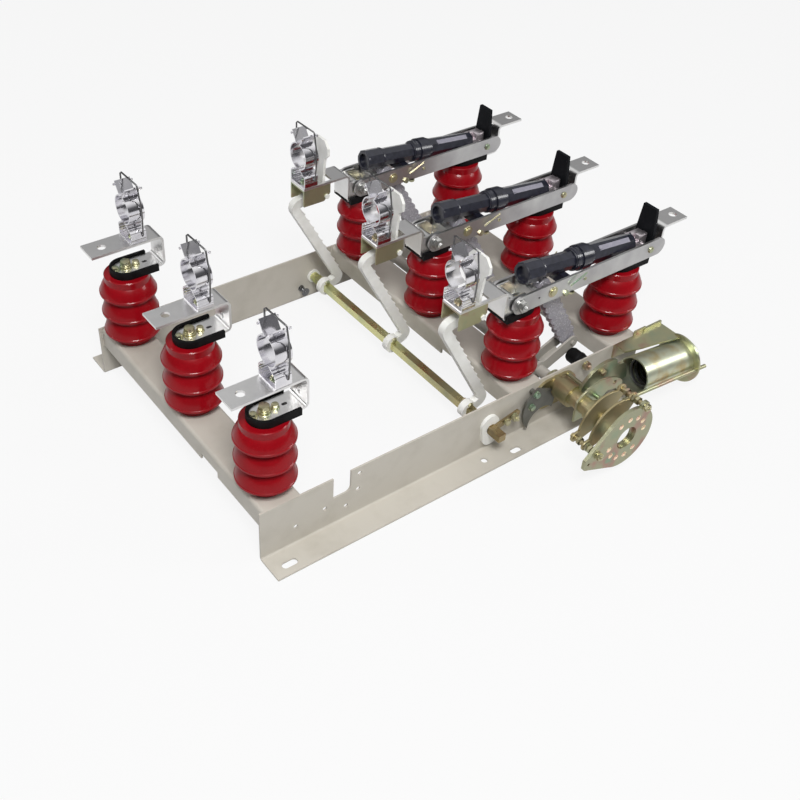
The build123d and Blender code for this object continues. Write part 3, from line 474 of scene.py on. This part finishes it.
silver, place = new_finish("bright silver plate", metallic=1.0)
tarnish = place.noise(40.0, 4.0)
level = place.axis(2)
ridge_rate = 1400.0
ridges = level.node("ShaderNodeMath", {"operation": "SINE"}, {0: level * ridge_rate})
pressed = ridges * (1.0 - level.over(0.312, 0.318)) * level.over(0.293, 0.297)
feed(
    silver,
    base_color=tarnish.over(0.35, 0.7).between((0.90, 0.89, 0.91), (0.70, 0.69, 0.74)),
    roughness=0.08 + 0.12 * tarnish,
    normal=pressed.bump(0.00035, 0.45),
)
coat_node(silver, "fuse_clips")

plate_top, foot_sheet = 0.287, 0.002
clip_places = [(x, y) for x in (-0.331, -0.006) for y in phase_places]
screw_head = [(0.0, 0.0068), (0.0022, 0.0066), (0.0048, 0.0052), (0.006, 0.0028), (0.006, 0.001)]
clip_screws = Work()
for x, y in clip_places:
    clip_screws.washer(0.003, 0.0075, 0.001, (x, y, plate_top + foot_sheet))
    clip_screws.turned(screw_head, (x, y, plate_top + foot_sheet))
clip_screws.piece("fuse_clip_screws", bolt_zinc, "frame")

prong_start, prong_end, prong_half, mouth_half = 0.0125, 0.0168, 0.0012, 0.0158
prong_low, prong_top = 0.3768, 0.3800
prongs = Work()
for x, y in clip_places:
    for side in (-1, 1):
        x0, x1 = sorted((x + side * prong_start, x + side * prong_end))
        for mouth in (y - mouth_half, y + mouth_half):
            prongs.block(x0, x1, mouth - prong_half, mouth + prong_half, prong_low, prong_top, 0.0005)
prongs.piece("fuse_clip_prongs", silver, "frame")


# Wire bails
# Spring steel wire bent to a frame that is swung over each clip to lock the fuse in. It is
# drawn wire, oiled and darkened. The path runs from the pin up in front of the near leaf, over
# the mouth and down behind, in X and Y from the clip's middle.

wire, place = new_finish("dark drawn wire", metallic=1.0)
draw = place.stretched(500.0, 500.0, 30.0).noise(1.0, 3.0)
feed(
    wire,
    base_color=draw.between((0.10, 0.10, 0.105), (0.26, 0.26, 0.26)),
    roughness=0.28 + 0.14 * draw,
)
bail_r, seat_z, far_leg = 0.0014, 0.2885, 0.0285
bail_path = [
    (0.0063, -0.0180, 0.2995),
    (0.0063, -0.0228, 0.2995),
    (0.0063, -0.0242, 0.3010),
    (0.0067, -0.0262, 0.3250),
    (0.0070, -0.0266, 0.3410),
    (0.0068, -0.0264, 0.3560),
    (0.0060, -0.0215, 0.3870),
    (0.0056, -0.0200, 0.3888),
    (0.0050, -0.0170, 0.3895),
    (0.0040, 0.0262, 0.3890),
    (0.0030, far_leg - 0.0001, 0.3870),
    (0.0030, far_leg, seat_z + 0.002),
    (0.0010, far_leg, seat_z),
    (-0.0060, far_leg, seat_z),
]
bails = Work()
for x, y in clip_places:
    bails.tube([(x + dx, y + dy, z) for dx, dy, z in bail_path], bail_r, 12)
made = bails.piece("clip_wire_bails", wire, "frame", sharp=60.0)
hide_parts("clip_bails")


# Striker hangers and plates
# Yellow passivated steel hangers under the fuse plates carry the milky white nylon plates that
# a fuse's striker tips. The plates turn on moulded pins.

yellow_zinc = zinc_finish(
    "yellow passivated zinc", (0.47, 0.46, 0.29), (0.35, 0.42, 0.29), (0.46, 0.33, 0.25), 0.3
)
coat_node(yellow_zinc, "striker_hangers")

nylon, place = new_finish("milky nylon", subsurface_weight=0.12, subsurface_radius=(0.004, 0.004, 0.0035))
flow = place.noise(45.0, 4.0)
feed(
    nylon,
    base_color=flow.over(0.3, 0.75).between((0.86, 0.86, 0.83), (0.76, 0.76, 0.72)),
    roughness=0.34 + 0.16 * flow,
    normal=place.noise(320.0, 3.0).bump(0.0002, 0.3),
)
coat_node(nylon, "trip_levers", "trip_bushes", *[f"striker_plate_{phase}" for phase in phases])


# Blade pivots
# A bright steel bolt through both cheeks carries the blade bars. Its threads stand out at both
# ends, past the nuts.

bright_steel = plated_finish("bright steel", (0.60, 0.60, 0.58), (0.45, 0.45, 0.44), 0.22, 0.2)
coat_node(bright_steel, "pivot_pins")
pivot_x, pivot_z, pivot_end = 0.100, 0.257, 0.0359
thread_r, thread_length, thread_pitch = 0.0045, 0.0045, 0.0011
pivot_ends = Work()
for y in phase_places:
    for side in (-1, 1):
        at = (pivot_x, y + side * pivot_end, pivot_z)
        pivot_ends.thread(thread_r, thread_length, thread_pitch, at, (0, side, 0))
pivot_ends.piece("pivot_thread_ends", bright_steel, "frame")


# Switch blades
# Two flat copper bars each side of the contacts, tin plated, with rounded ends. A rivet ties
# them at the tip. A headed pin takes the drive link and a split pin locks the nut behind it.

blade_metal = plated_finish("blade tin plate", (0.60, 0.60, 0.59), (0.45, 0.44, 0.45), 0.24, 0.5)
bar_face, link_pin_x, tip_rivet_x = 0.028, 0.168, 0.393
rivet_head = [(0.0, 0.0042), (0.0025, 0.0040), (0.0052, 0.0026), (0.0062, 0.0)]
pin_head = [(0.0, 0.0034), (0.0052, 0.0034), (0.0060, 0.0026), (0.0060, 0.0)]
leg_line = ((0.2036, 0.2573), (0.2180, 0.2655), (0.2325, 0.2741))
leg_r, leg_gap, leg_start, leg_spread = 0.0009, 0.0011, 0.0030, 0.0020
nut_x, nut_z, nut_sunk = 0.1985, 0.2435, 0.002
for phase, y in zip(phases, phase_places):
    coat_node(blade_metal, f"blade_{phase}")
    pins = Work()
    for side in (-1, 1):
        face = y + side * bar_face
        out = (0, side, 0)
        for gap in (-leg_gap, leg_gap):
            leg = []
            for k, (x, z) in enumerate(leg_line):
                leg.append((x, face + side * (leg_start + leg_spread * k), z + gap))
            pins.tube(leg, leg_r, 8)
        pins.hexagon(0.0095, 0.005, (nut_x, face - side * nut_sunk, nut_z), out, 0.2)
        pins.turned(rivet_head, (tip_rivet_x, face, pivot_z), out)
        pins.washer(0.0051, 0.0095, 0.0012, (link_pin_x, face, pivot_z), out)
        pins.turned(pin_head, (link_pin_x, face, pivot_z), out)
        pins.washer(0.0015, 0.0032, 0.0010, (0.239, face, 0.256), out)
    pins.bolt(0.006, (0.213, y - 0.026, 0.241), (0, 0, -1), washer=False)
    pins.piece(f"blade_pins_{phase}", bolt_zinc, f"blade_{phase}")


# Arc tubes
# Moulded tubes of dark phenolic, faceted along their length, with a capped mouth, a collar in
# the middle and a bare label strip on the rear body, whose light grey is partly painted highlight
# on the near upper facet. A folded catch holds the tail to the rivet.

tube_black, place = new_finish("dark phenolic moulding", coat_weight=0.5, coat_roughness=0.14)
skin = place.noise(120.0, 4.0)
feed(
    tube_black,
    base_color=skin.over(0.3, 0.8).between((0.007, 0.008, 0.015), (0.020, 0.021, 0.036)),
    roughness=0.26 + 0.16 * skin,
    normal=place.noise(800.0, 2.0).bump(0.00012, 0.4),
)
# The strip's light lavender grey is partly the label's own colour and partly painted highlight on the near
# upper facet.
label_strip_with_highlight, place = new_finish("label strip with painted highlight", specular_ior_level=0.4)
feed(
    label_strip_with_highlight,
    base_color=place.noise(150.0, 3.0).between((0.22, 0.215, 0.26), (0.32, 0.31, 0.36)),
    roughness=0.22 + 0.1 * place.noise(60.0),
)
catch_metal = plated_finish("catch plating", (0.90, 0.83, 0.86), (0.80, 0.72, 0.76), 0.32, 0.2)
tube_front = Vector((0.121, 0.0, 0.293))
tube_back = Vector((0.367, 0.0, 0.266))
tube_line = (tube_back - tube_front).normalized()
bore_r, hoop_length, hoop_edge = 0.012, 0.004, 0.001
mouth_lip = [(bore_r, -0.001), (0.0165, -0.001), (0.0175, 0.0), (0.0175, 0.003), (bore_r, 0.003)]
collar_rib = [(0.018, 0.0), (0.0194, 0.0008), (0.0194, 0.0022), (0.018, 0.003)]
first_rib, rib_pitch, ribs = 0.108, 0.006, 5

strip_at, strip_out, strip_sheet = 0.196, 0.0166, 0.0006
strip_half, strip_half_width = 0.036, 0.0042
lean = radians(36.0)
up = Vector((-tube_line.z, 0, tube_line.x))
outward = up * cos(lean) - Vector((0, sin(lean), 0))
around = up * sin(lean) + Vector((0, cos(lean), 0))

catch_front, catch_back, catch_low, catch_half = 0.3640, 0.3972, 0.2530, 0.0106
hole_shade_disc = [(0.0, 0.0), (0.0022, 0.0), (0.0022, 0.0004), (0.0, 0.0004)]
for phase, y in zip(phases, phase_places):
    coat_node(tube_black, f"arc_tube_{phase}")
    body = f"blade_{phase}"
    start = tube_front + Vector((0, y, 0))
    rings = Work()
    rings.turned(mouth_lip, start, tube_line, closed=True)
    for along, radius in ((0.033, 0.0178), (0.104, 0.0180), (0.142, 0.0186)):
        inner = radius - hoop_edge
        hoop = [(bore_r, 0.0), (inner, 0.0), (radius, hoop_edge), (radius, hoop_length - hoop_edge)]
        hoop += [(inner, hoop_length), (bore_r, hoop_length)]
        rings.turned(hoop, start + tube_line * along, tube_line, closed=True)
    for k in range(ribs):
        rings.turned(collar_rib, start + tube_line * (first_rib + rib_pitch * k), tube_line)
    rings.piece(f"arc_tube_rings_{phase}", tube_black, body)
    strip = Work()
    middle = start + tube_line * strip_at + outward * strip_out
    corners = []
    for a, b in ((-1, -1), (1, -1), (1, 1), (-1, 1)):
        corners.append(middle + tube_line * a * strip_half + around * b * strip_half_width)
    strip.rows([corners, [c + outward * strip_sheet for c in corners]], caps=True)
    strip.piece(f"arc_tube_strip_{phase}", label_strip_with_highlight, body)
    catch = Work()
    catch.block(catch_front, catch_back, y + 0.0008, y + catch_half, catch_low, 0.2785, 0.0008)
    catch.block(catch_front, 0.3790, y - catch_half, y - 0.0012, catch_low, 0.2700, 0.0008)
    catch.block(0.3775, catch_back, y - catch_half, y - 0.0004, catch_low, 0.2800, 0.0012)
    catch.piece(f"arc_tube_catch_{phase}", catch_metal, body)
    # A thin dark disc on the catch's top paints the shade in its hole.
    bore = Work()
    bore.turned(hole_shade_disc, (0.3720, y + 0.0056, 0.2784))
    bore.piece(f"arc_tube_catch_hole_shade_{phase}", tube_black, body)


# Guide plates
# A pack of five thin tinned plates stands on each middle strap, past the pivot, and guides the
# blade bars between the cheeks.

guide_start, guide_pitch, guide_sheet, guide_half = 0.1293, 0.0031, 0.0017, 0.0205
guide_top, guide_step = 0.2690, 0.0006
for phase, y in zip(phases, phase_places):
    guides = Work()
    for k in range(5):
        x = guide_start + guide_pitch * k
        top = guide_top - guide_step * k
        guides.block(x, x + guide_sheet, y - guide_half, y + guide_half, strap_top, top, 0.0004)
    guides.piece(f"stop_plates_{phase}", tinned, "frame")


# Arc boards
# Flat boards of black arc proof laminate stand upright on the rear contacts, sawn to shape and
# left matt.

board, place = new_finish("black arc board", specular_ior_level=0.1)
weave = place.stretched(1.0, 900.0, 900.0).noise(1.0, 3.0)
feed(
    board,
    base_color=weave.between((0.004, 0.0045, 0.006), (0.010, 0.011, 0.013)),
    roughness=0.55 + 0.15 * weave,
    normal=weave.bump(0.0001, 0.4),
)
coat_node(board, "rear_fins")


# Drive links
# Glass filled resin bars with scalloped edges, grey with a lilac cast. Glass flakes near the
# skin make them glitter.

resin, place = new_finish("glass filled resin", specular_ior_level=0.7)
flake = place.cells(520.0, 1)
glint = flake.node("ShaderNodeSeparateColor", {}, {0: flake})
spark = glint.over(0.55, 0.95)
feed(
    resin,
    base_color=spark.between((0.30, 0.29, 0.325), (0.66, 0.65, 0.70)),
    roughness=0.5 - 0.3 * spark,
    metallic=spark * 0.5,
    normal=place.cells(520.0).bump(0.0004, 0.6),
)
coat_node(resin, *[f"link_{phase}" for phase in phases])


# Drive shaft and cranks
# A round steel bar through all phases with a welded fork for each link, painted with the frame;
# its enamel is made darker as painted shade.
# Flanged bearings are screwed inside the side beams and a rubber stop is bolted by the near
# crank. A thin dark sheet on each side of a fork's end paints the shade in the slot at the link's pin.

# The frame's enamel, made darker here as painted shade on the shaft and cranks.
shaft_enamel_shaded = enamel_finish("shaft enamel with painted shade", (0.40, 0.38, 0.34), (0.30, 0.285, 0.25))
coat_node(shaft_enamel_shaded, "drive_shaft", "drive_cranks")
coat_node(yellow_zinc, "shaft_bearings")
shaft_x, shaft_z = 0.188, 0.078

# Thin dark sheets on each fork's faces paint the shade in the slot at the link's pin.
slot_r, slot_lean, shade_sheet = 0.0022, 0.4, 0.0003
crank_tip_x, crank_tip_z, crank_face = 0.2588, 0.1076, 0.0135
slot = []
for k in range(24):
    a = 2 * pi * k / 24
    along = slot_r * cos(a) + (slot_r if cos(a) > 0 else -slot_r)
    slot.append(Vector((along * cos(slot_lean), 0.0, slot_r * sin(a) + along * sin(slot_lean))))
crank_slot_shades = Work()
for y in phase_places:
    for side in (-1, 1):
        face = Vector((crank_tip_x, y + side * crank_face, crank_tip_z))
        outer = face + Vector((0, side * shade_sheet, 0))
        crank_slot_shades.rows([[face + c for c in slot], [outer + c * 0.96 for c in slot]], caps=True)
crank_slot_shades.piece("crank_slot_painted_shade", rubber, "main_shaft")

stop_at = Vector((0.2545, -0.2575, 0.088))
stop_body = [(0.0, 0.0), (0.012, 0.0), (0.0135, 0.002), (0.0135, 0.027), (0.0115, 0.031), (0.0, 0.031)]
stop_bead = [(0.0135, 0.006), (0.0145, 0.0075), (0.0145, 0.011), (0.0135, 0.0125)]
stop = Work()
stop.turned(stop_body, stop_at, (0, 1, 0))
stop.turned(stop_bead, stop_at, (0, 1, 0))
stop.piece("shaft_buffer", rubber, "frame")
stop_nuts = Work()
stop_nuts.washer(0.004, 0.009, 0.0015, stop_at, (0, -1, 0))
stop_nuts.bolt(0.008, stop_at - Vector((0, 0.0065, 0)), (0, -1, 0), end=0.004)
stop_nuts.piece("shaft_buffer_nuts", bolt_zinc, "frame")

screw_circle, flange_face = 0.0145, 0.251
bearing_screws = Work()
for side in (-1, 1):
    for a in (0.6, 2.7, 4.8):
        at = (shaft_x + screw_circle * cos(a), side * flange_face, shaft_z + screw_circle * sin(a))
        bearing_screws.bolt(0.004, at, (0, -side, 0), washer=False)
bearing_screws.piece("bearing_screws", bolt_zinc, "frame")


# Trip shaft and levers
# A square bar, yellow passivated, turns in white nylon bushes and carries the three white
# zig-zag levers that the striker plates push. A flat arm outside the near beam trips the drive.
# A dark screw stands on the far web beside the bar's end.

bar_zinc, place = new_finish("drawn bar zinc", metallic=0.88)
# The bar's colour runs from dark brown at the near end to bright yellow from the middle onward.
along_bar = place.axis(1).over(-0.26, 0.02)
film_shift = place.noise(35.0, 2.0).over(0.4, 0.7)
near_end_tone = film_shift.between((0.34, 0.26, 0.13), (0.25, 0.20, 0.12))
far_part_tone = film_shift.between((0.72, 0.70, 0.34), (0.56, 0.60, 0.34))
feed(bar_zinc, base_color=along_bar.between(near_end_tone, far_part_tone), roughness=0.26 + 0.12 * film_shift)
coat_node(bar_zinc, "trip_shaft")

screw_at = Vector((0.0185, 0.2575, 0.0275))
far_screw = Work()
far_screw.bolt(0.006, screw_at, (0, -1, 0), end=0.012)
far_screw.washer(0.0026, 0.0085, 0.001, screw_at - Vector((0, 0.016, 0)), (0, -1, 0))
far_screw.piece("far_web_screw", wire, "frame")

trip_x, trip_z, hub_middle, hub_half, hub_r = 0.046, 0.047, 0.0055, 0.0065, 0.0115
trip_screws = Work()
for y in phase_places:
    for side in (-1, 1):
        at = (trip_x, y + hub_middle + side * hub_half, trip_z + hub_r)
        trip_screws.bolt(0.005, at, (0, side, 0), washer=False)
trip_screws.bolt(0.007, (0.090, -0.2710, 0.0565), (0, -1, 0), end=0.004)
trip_screws.bolt(0.006, (0.074, -0.2710, 0.0530), (0, -1, 0))
trip_screws.piece("trip_lever_screws", bolt_zinc, "trip_shaft")


# Trip catch plate
# A curved catch of dark, blackened steel stands on two spacers in front of the web, held by two
# zinc plated bolts.

black_steel, place = new_finish("blackened steel", metallic=0.7)
scale_marks = place.noise(60.0, 5.0)
feed(
    black_steel,
    base_color=scale_marks.between((0.10, 0.10, 0.09), (0.24, 0.24, 0.215)),
    roughness=0.36 + 0.2 * scale_marks,
)
coat_node(black_steel, "sickle_plate")
catch_bolts = Work()
for dx, dz in ((-0.061, -0.018), (-0.054, 0.006)):
    catch_bolts.bolt(0.006, (shaft_x + dx, -0.272, shaft_z + dz), (0, -1, 0))
catch_bolts.piece("catch_plate_bolts", bolt_zinc, "frame")


# Mechanism bracket
# A strip of yellow passivated plate bolted to the near web, with a flange on top and an end
# plate that is bent round the spring cylinder.

coat_node(yellow_zinc, "mechanism_bracket")
flange_low, flange_top, flange_back = 0.0975, 0.1005, -0.262
flange_edge = [(0.325, flange_back), (0.325, -0.286), (0.360, -0.295)]
flange_edge += [(0.400, -0.302), (0.440, -0.312), (0.440, flange_back)]
flange = Work()
flange.rows([[(x, y, z) for x, y in flange_edge] for z in (flange_low, flange_top)], caps=True)
flange.block(0.372, 0.400, -0.2625, -web_y, 0.0980, 0.1090, 0.0006)
flange.piece("bracket_top_flange", yellow_zinc, "frame")


# Operating disc and crescent plates
# The drilled disc and two crescent plates are punched from steel plate and passivated. Spacer
# bolts with nuts hold them apart. The journal behind carries them on the shaft's line.

disc_zinc = zinc_finish(
    "plate zinc", (0.38, 0.38, 0.25), (0.27, 0.36, 0.24), (0.42, 0.25, 0.20), 0.28
)
brown_zinc = zinc_finish(
    "brown passivated zinc", (0.40, 0.34, 0.19), (0.26, 0.28, 0.17), (0.46, 0.27, 0.19), 0.34
)
coat_node(disc_zinc, "operating_disc", "spring_plates")
coat_node(brown_zinc, "hub_journal")
spacers = ((-0.0626, -0.0057), (0.029, 0.0527))
plate_sheet, plate_lip, sleeve_bore_r = 0.004, 0.0006, 0.0155


def plate_reach(angle):
    """How far a crescent plate reaches from the shaft's axis towards an angle."""
    plate_r, hub_r, ear_r = 0.057, 0.025, 0.009
    reach = plate_r if radians(48) < angle < radians(200) else hub_r
    for dx, dz in spacers:
        along = dx * cos(angle) + dz * sin(angle)
        aside = dz * cos(angle) - dx * sin(angle)
        if along > 0 and abs(aside) < ear_r:
            reach = max(reach, along + (ear_r**2 - aside**2) ** 0.5)
    return reach


def plate_ring(y, inset, inner):
    """A ring of points round a crescent plate's edge, or round its bore."""
    ring = []
    for k in range(180):
        a = 2 * pi * k / 180
        reach = sleeve_bore_r if inner else plate_reach(a) - inset
        ring.append((shaft_x + reach * cos(a), y, shaft_z + reach * sin(a)))
    return ring


crescents = Work()
for y in (-0.372, -0.396):
    back = y - plate_sheet
    rows = [plate_ring(y - plate_lip, 0, False), plate_ring(back + plate_lip, 0, False)]
    rows += [plate_ring(back, plate_lip, False), plate_ring(back, 0, True)]
    rows += [plate_ring(y, 0, True), plate_ring(y, plate_lip, False)]
    crescents.rows(rows, closed=True)
sleeve = [(sleeve_bore_r, 0.0), (0.0185, 0.0), (0.019, 0.0006)]
sleeve += [(0.019, 0.0354), (0.0185, 0.036), (sleeve_bore_r, 0.036)]
crescents.turned(sleeve, (shaft_x, -0.344, shaft_z), (0, -1, 0), closed=True)
rod = [(0.0, 0.0), (0.0042, 0.0), (0.0045, 0.0004), (0.0045, 0.0515), (0.0, 0.052)]
for dx, dz in spacers:
    crescents.turned(rod, (shaft_x + dx, -0.368, shaft_z + dz), (0, -1, 0), steps=24)
made = crescents.piece("ring_plate_moons", brown_zinc, "operating_disc")
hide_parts("ring_plates")

# Light sleeves inside the disc's holes paint the highlight and reflection on the hole walls.
hole_wall_highlight, place = new_finish("hole walls painted highlight", metallic=0.35)
hue = place.noise(160.0, 1.0).over(0.35, 0.65)
feed(
    hole_wall_highlight,
    base_color=hue.between((0.95, 0.88, 0.62), (0.95, 0.66, 0.58)),
    roughness=0.3 + 0.1 * hue,
)
hole_ring_r, hole_step, holes_each_side = 0.0385, 29.0, 5
wall = [(0.0046, 0.0), (0.0046, 0.0058), (0.00495, 0.0060), (0.00495, 0.0)]
hole_walls = Work()
for start in (5.0, 190.0):
    for k in range(holes_each_side):
        a = radians(start + hole_step * k)
        at = (shaft_x + hole_ring_r * cos(a), -0.4201, shaft_z + hole_ring_r * sin(a))
        hole_walls.turned(wall, at, (0, -1, 0), steps=24, closed=True)
hole_walls.piece("disc_hole_painted_highlight", hole_wall_highlight, "operating_disc")

disc_nuts = Work()
for dx, dz in spacers:
    x, z = shaft_x + dx, shaft_z + dz
    disc_nuts.bolt(0.007, (x, -0.426, z), (0, -1, 0), end=0.002)
    for y, facing, turn in ((-0.412, 1, 0.2), (-0.4001, -1, 0.5), (-0.388, 1, 0.4)):
        disc_nuts.hexagon(0.013, 0.005, (x, y, z), (0, facing, 0), turn)
disc_nuts.piece("disc_spacer_nuts", bolt_zinc, "operating_disc")


# Spring cylinder and plates
# A drawn tube, open to the front, holds a coil spring of oiled wire, coloured near black partly as
# painted shade inside the tube. Zinc plated bolts stand on the journal, the fan plate and the cam
# behind it, and hold the bracket to the web.

drawn_zinc = zinc_finish(
    "drawn tube zinc", (0.64, 0.66, 0.50), (0.44, 0.53, 0.47), (0.54, 0.45, 0.24), 0.3
)
coat_node(drawn_zinc, "spring_cylinder")
# The spring's near black is partly the oiled wire's own colour and partly painted shade inside the
# cylinder's mouth.
spring_wire_and_shade, place = new_finish("oiled spring wire with painted shade", specular_ior_level=0.6)
oil = place.noise(120.0, 3.0)
feed(
    spring_wire_and_shade,
    base_color=oil.between((0.008, 0.008, 0.009), (0.03, 0.03, 0.03)),
    roughness=0.25 + 0.2 * oil,
)
spring_end = Vector((0.436, -0.320, 0.061))
tilt = radians(7.0)
forward = Vector((-cos(tilt), 0, sin(tilt)))
rise = Vector((sin(tilt), 0, cos(tilt)))
turns, steps, spring_start, spring_length = 8, 28, 0.004, 0.100
spring_wire_r, coil_r = 0.0030, 0.0262
run = []
for i in range(turns * steps + 1):
    a = 2 * pi * i / steps
    at = spring_end + forward * (spring_start + spring_length * i / (turns * steps))
    run.append(at + rise * coil_r * cos(a) + Vector((0, coil_r * sin(a), 0)))
spring = Work()
spring.tube(run, spring_wire_r, 8)
spring.piece("drive_spring", spring_wire_and_shade, "frame")

plate_bolts = Work()
plate_bolts.bolt(0.007, (shaft_x + 0.026, -0.3385, shaft_z + 0.007), (0, -1, 0), washer=False)
plate_bolts.bolt(0.006, (shaft_x + 0.078, -0.330, shaft_z - 0.022), (0, -1, 0))
plate_bolts.bolt(0.006, (shaft_x + 0.052, -0.312, shaft_z + 0.034), (0, -1, 0))
for x in (0.352, 0.392):
    plate_bolts.bolt(0.007, (x, -0.264, 0.086), (0, -1, 0))
plate_bolts.piece("mechanism_bolts", bolt_zinc, "frame")


# Ground, light and camera
# Pale seamless ground, three soft lamps and the photograph's own viewpoint.

ground_reach = 6.0
sides = ((-1, -1), (1, -1), (1, 1), (-1, 1))
data = bpy.data.meshes.new("ground")
data.from_pydata([(a * ground_reach, b * ground_reach, 0.0) for a, b in sides], [], [(0, 1, 2, 3)])
ground = bpy.data.objects.new("ground", data)
scene.collection.objects.link(ground)

pale = bpy.data.materials.new("pale ground")
pale.use_nodes = True
tree = pale.node_tree
shader = tree.nodes["Principled BSDF"]
shader.inputs["Base Color"].default_value = (0.55, 0.55, 0.55, 1.0)
shader.inputs["Roughness"].default_value = 0.9
glow = tree.nodes.new("ShaderNodeEmission")
mixer = tree.nodes.new("ShaderNodeMixShader")
ray = tree.nodes.new("ShaderNodeLightPath")
seen_white, mirrored_white = 0.88, 0.5
white = Tone(tree, ray.outputs["Is Camera Ray"]) * seen_white
white = white + Tone(tree, ray.outputs["Is Glossy Ray"]) * mirrored_white
tree.links.new(white.output, mixer.inputs[0])
tree.links.new(shader.outputs[0], mixer.inputs[1])
tree.links.new(glow.outputs[0], mixer.inputs[2])
tree.links.new(mixer.outputs[0], tree.nodes["Material Output"].inputs[0])
data.materials.append(pale)

world = bpy.data.worlds.new("studio")
scene.world = world
world.use_nodes = True
tree = world.node_tree
sky = tree.nodes["Background"]
sky.inputs["Strength"].default_value = 1.0
direct = Tone(tree, tree.nodes.new("ShaderNodeTexCoord").outputs["Generated"])
height = direct.axis(2)
dark, dim, bright = (0.04, 0.04, 0.04), (0.09, 0.09, 0.095), (0.45, 0.45, 0.45)
room = height.over(-0.2, 0.9).ramp((0.0, dark), (0.5, dim), (1.0, bright))
ray = tree.nodes.new("ShaderNodeLightPath")
overhead = height.over(0.45, 0.85) * 0.75
seen = Tone(tree, ray.outputs["Is Camera Ray"]) + Tone(tree, ray.outputs["Is Glossy Ray"]) * overhead
tree.links.new(seen.between(room, (1.0, 1.0, 1.0)).output, sky.inputs["Color"])


def soft_lamp(name, at, aim, size, watts):
    """A rectangular area lamp that faces a point."""
    lamp = bpy.data.lights.new(name, "AREA")
    lamp.shape = "RECTANGLE"
    lamp.size, lamp.size_y = size
    lamp.energy = watts
    made = bpy.data.objects.new(name, lamp)
    scene.collection.objects.link(made)
    made.location = at
    made.rotation_euler = (Vector(aim) - Vector(at)).to_track_quat("-Z", "Y").to_euler()


soft_lamp("key lamp", (-0.9, -1.5, 2.5), (0.0, 0.0, 0.1), (0.9, 0.7), 66.0)
soft_lamp("side lamp", (2.0, -1.5, 1.4), (0.1, 0.0, 0.15), (0.8, 0.6), 16.0)
soft_lamp("back lamp", (-2.0, 1.7, 1.8), (0.0, 0.0, 0.15), (1.4, 0.7), 14.0)

azimuth, elevation, roll = radians(-38.44), radians(40.89), radians(3.35)
focal_pixels, frame_pixels = 1085.0, 800.0
centre_pixel = (373.6, 398.4)
look_back = Vector((sin(azimuth) * cos(elevation), -cos(azimuth) * cos(elevation), sin(elevation)))
horizontal = Vector((cos(azimuth), sin(azimuth), 0.0))
upright = look_back.cross(horizontal)
across = horizontal * cos(roll) + upright * sin(roll)
upward = upright * cos(roll) - horizontal * sin(roll)
stand = Matrix((across, upward, look_back)).transposed().to_4x4()
stand.translation = Vector((-0.926, -1.177, 1.239))
camera_data = bpy.data.cameras.new("camera")
camera_data.lens = focal_pixels / frame_pixels * camera_data.sensor_width
camera_data.shift_x = (frame_pixels / 2 - centre_pixel[0]) / frame_pixels
camera_data.shift_y = -(frame_pixels / 2 - centre_pixel[1]) / frame_pixels
camera = bpy.data.objects.new("camera", camera_data)
scene.collection.objects.link(camera)
camera.matrix_world = stand
scene.camera = camera
scene.view_settings.view_transform = "Standard"
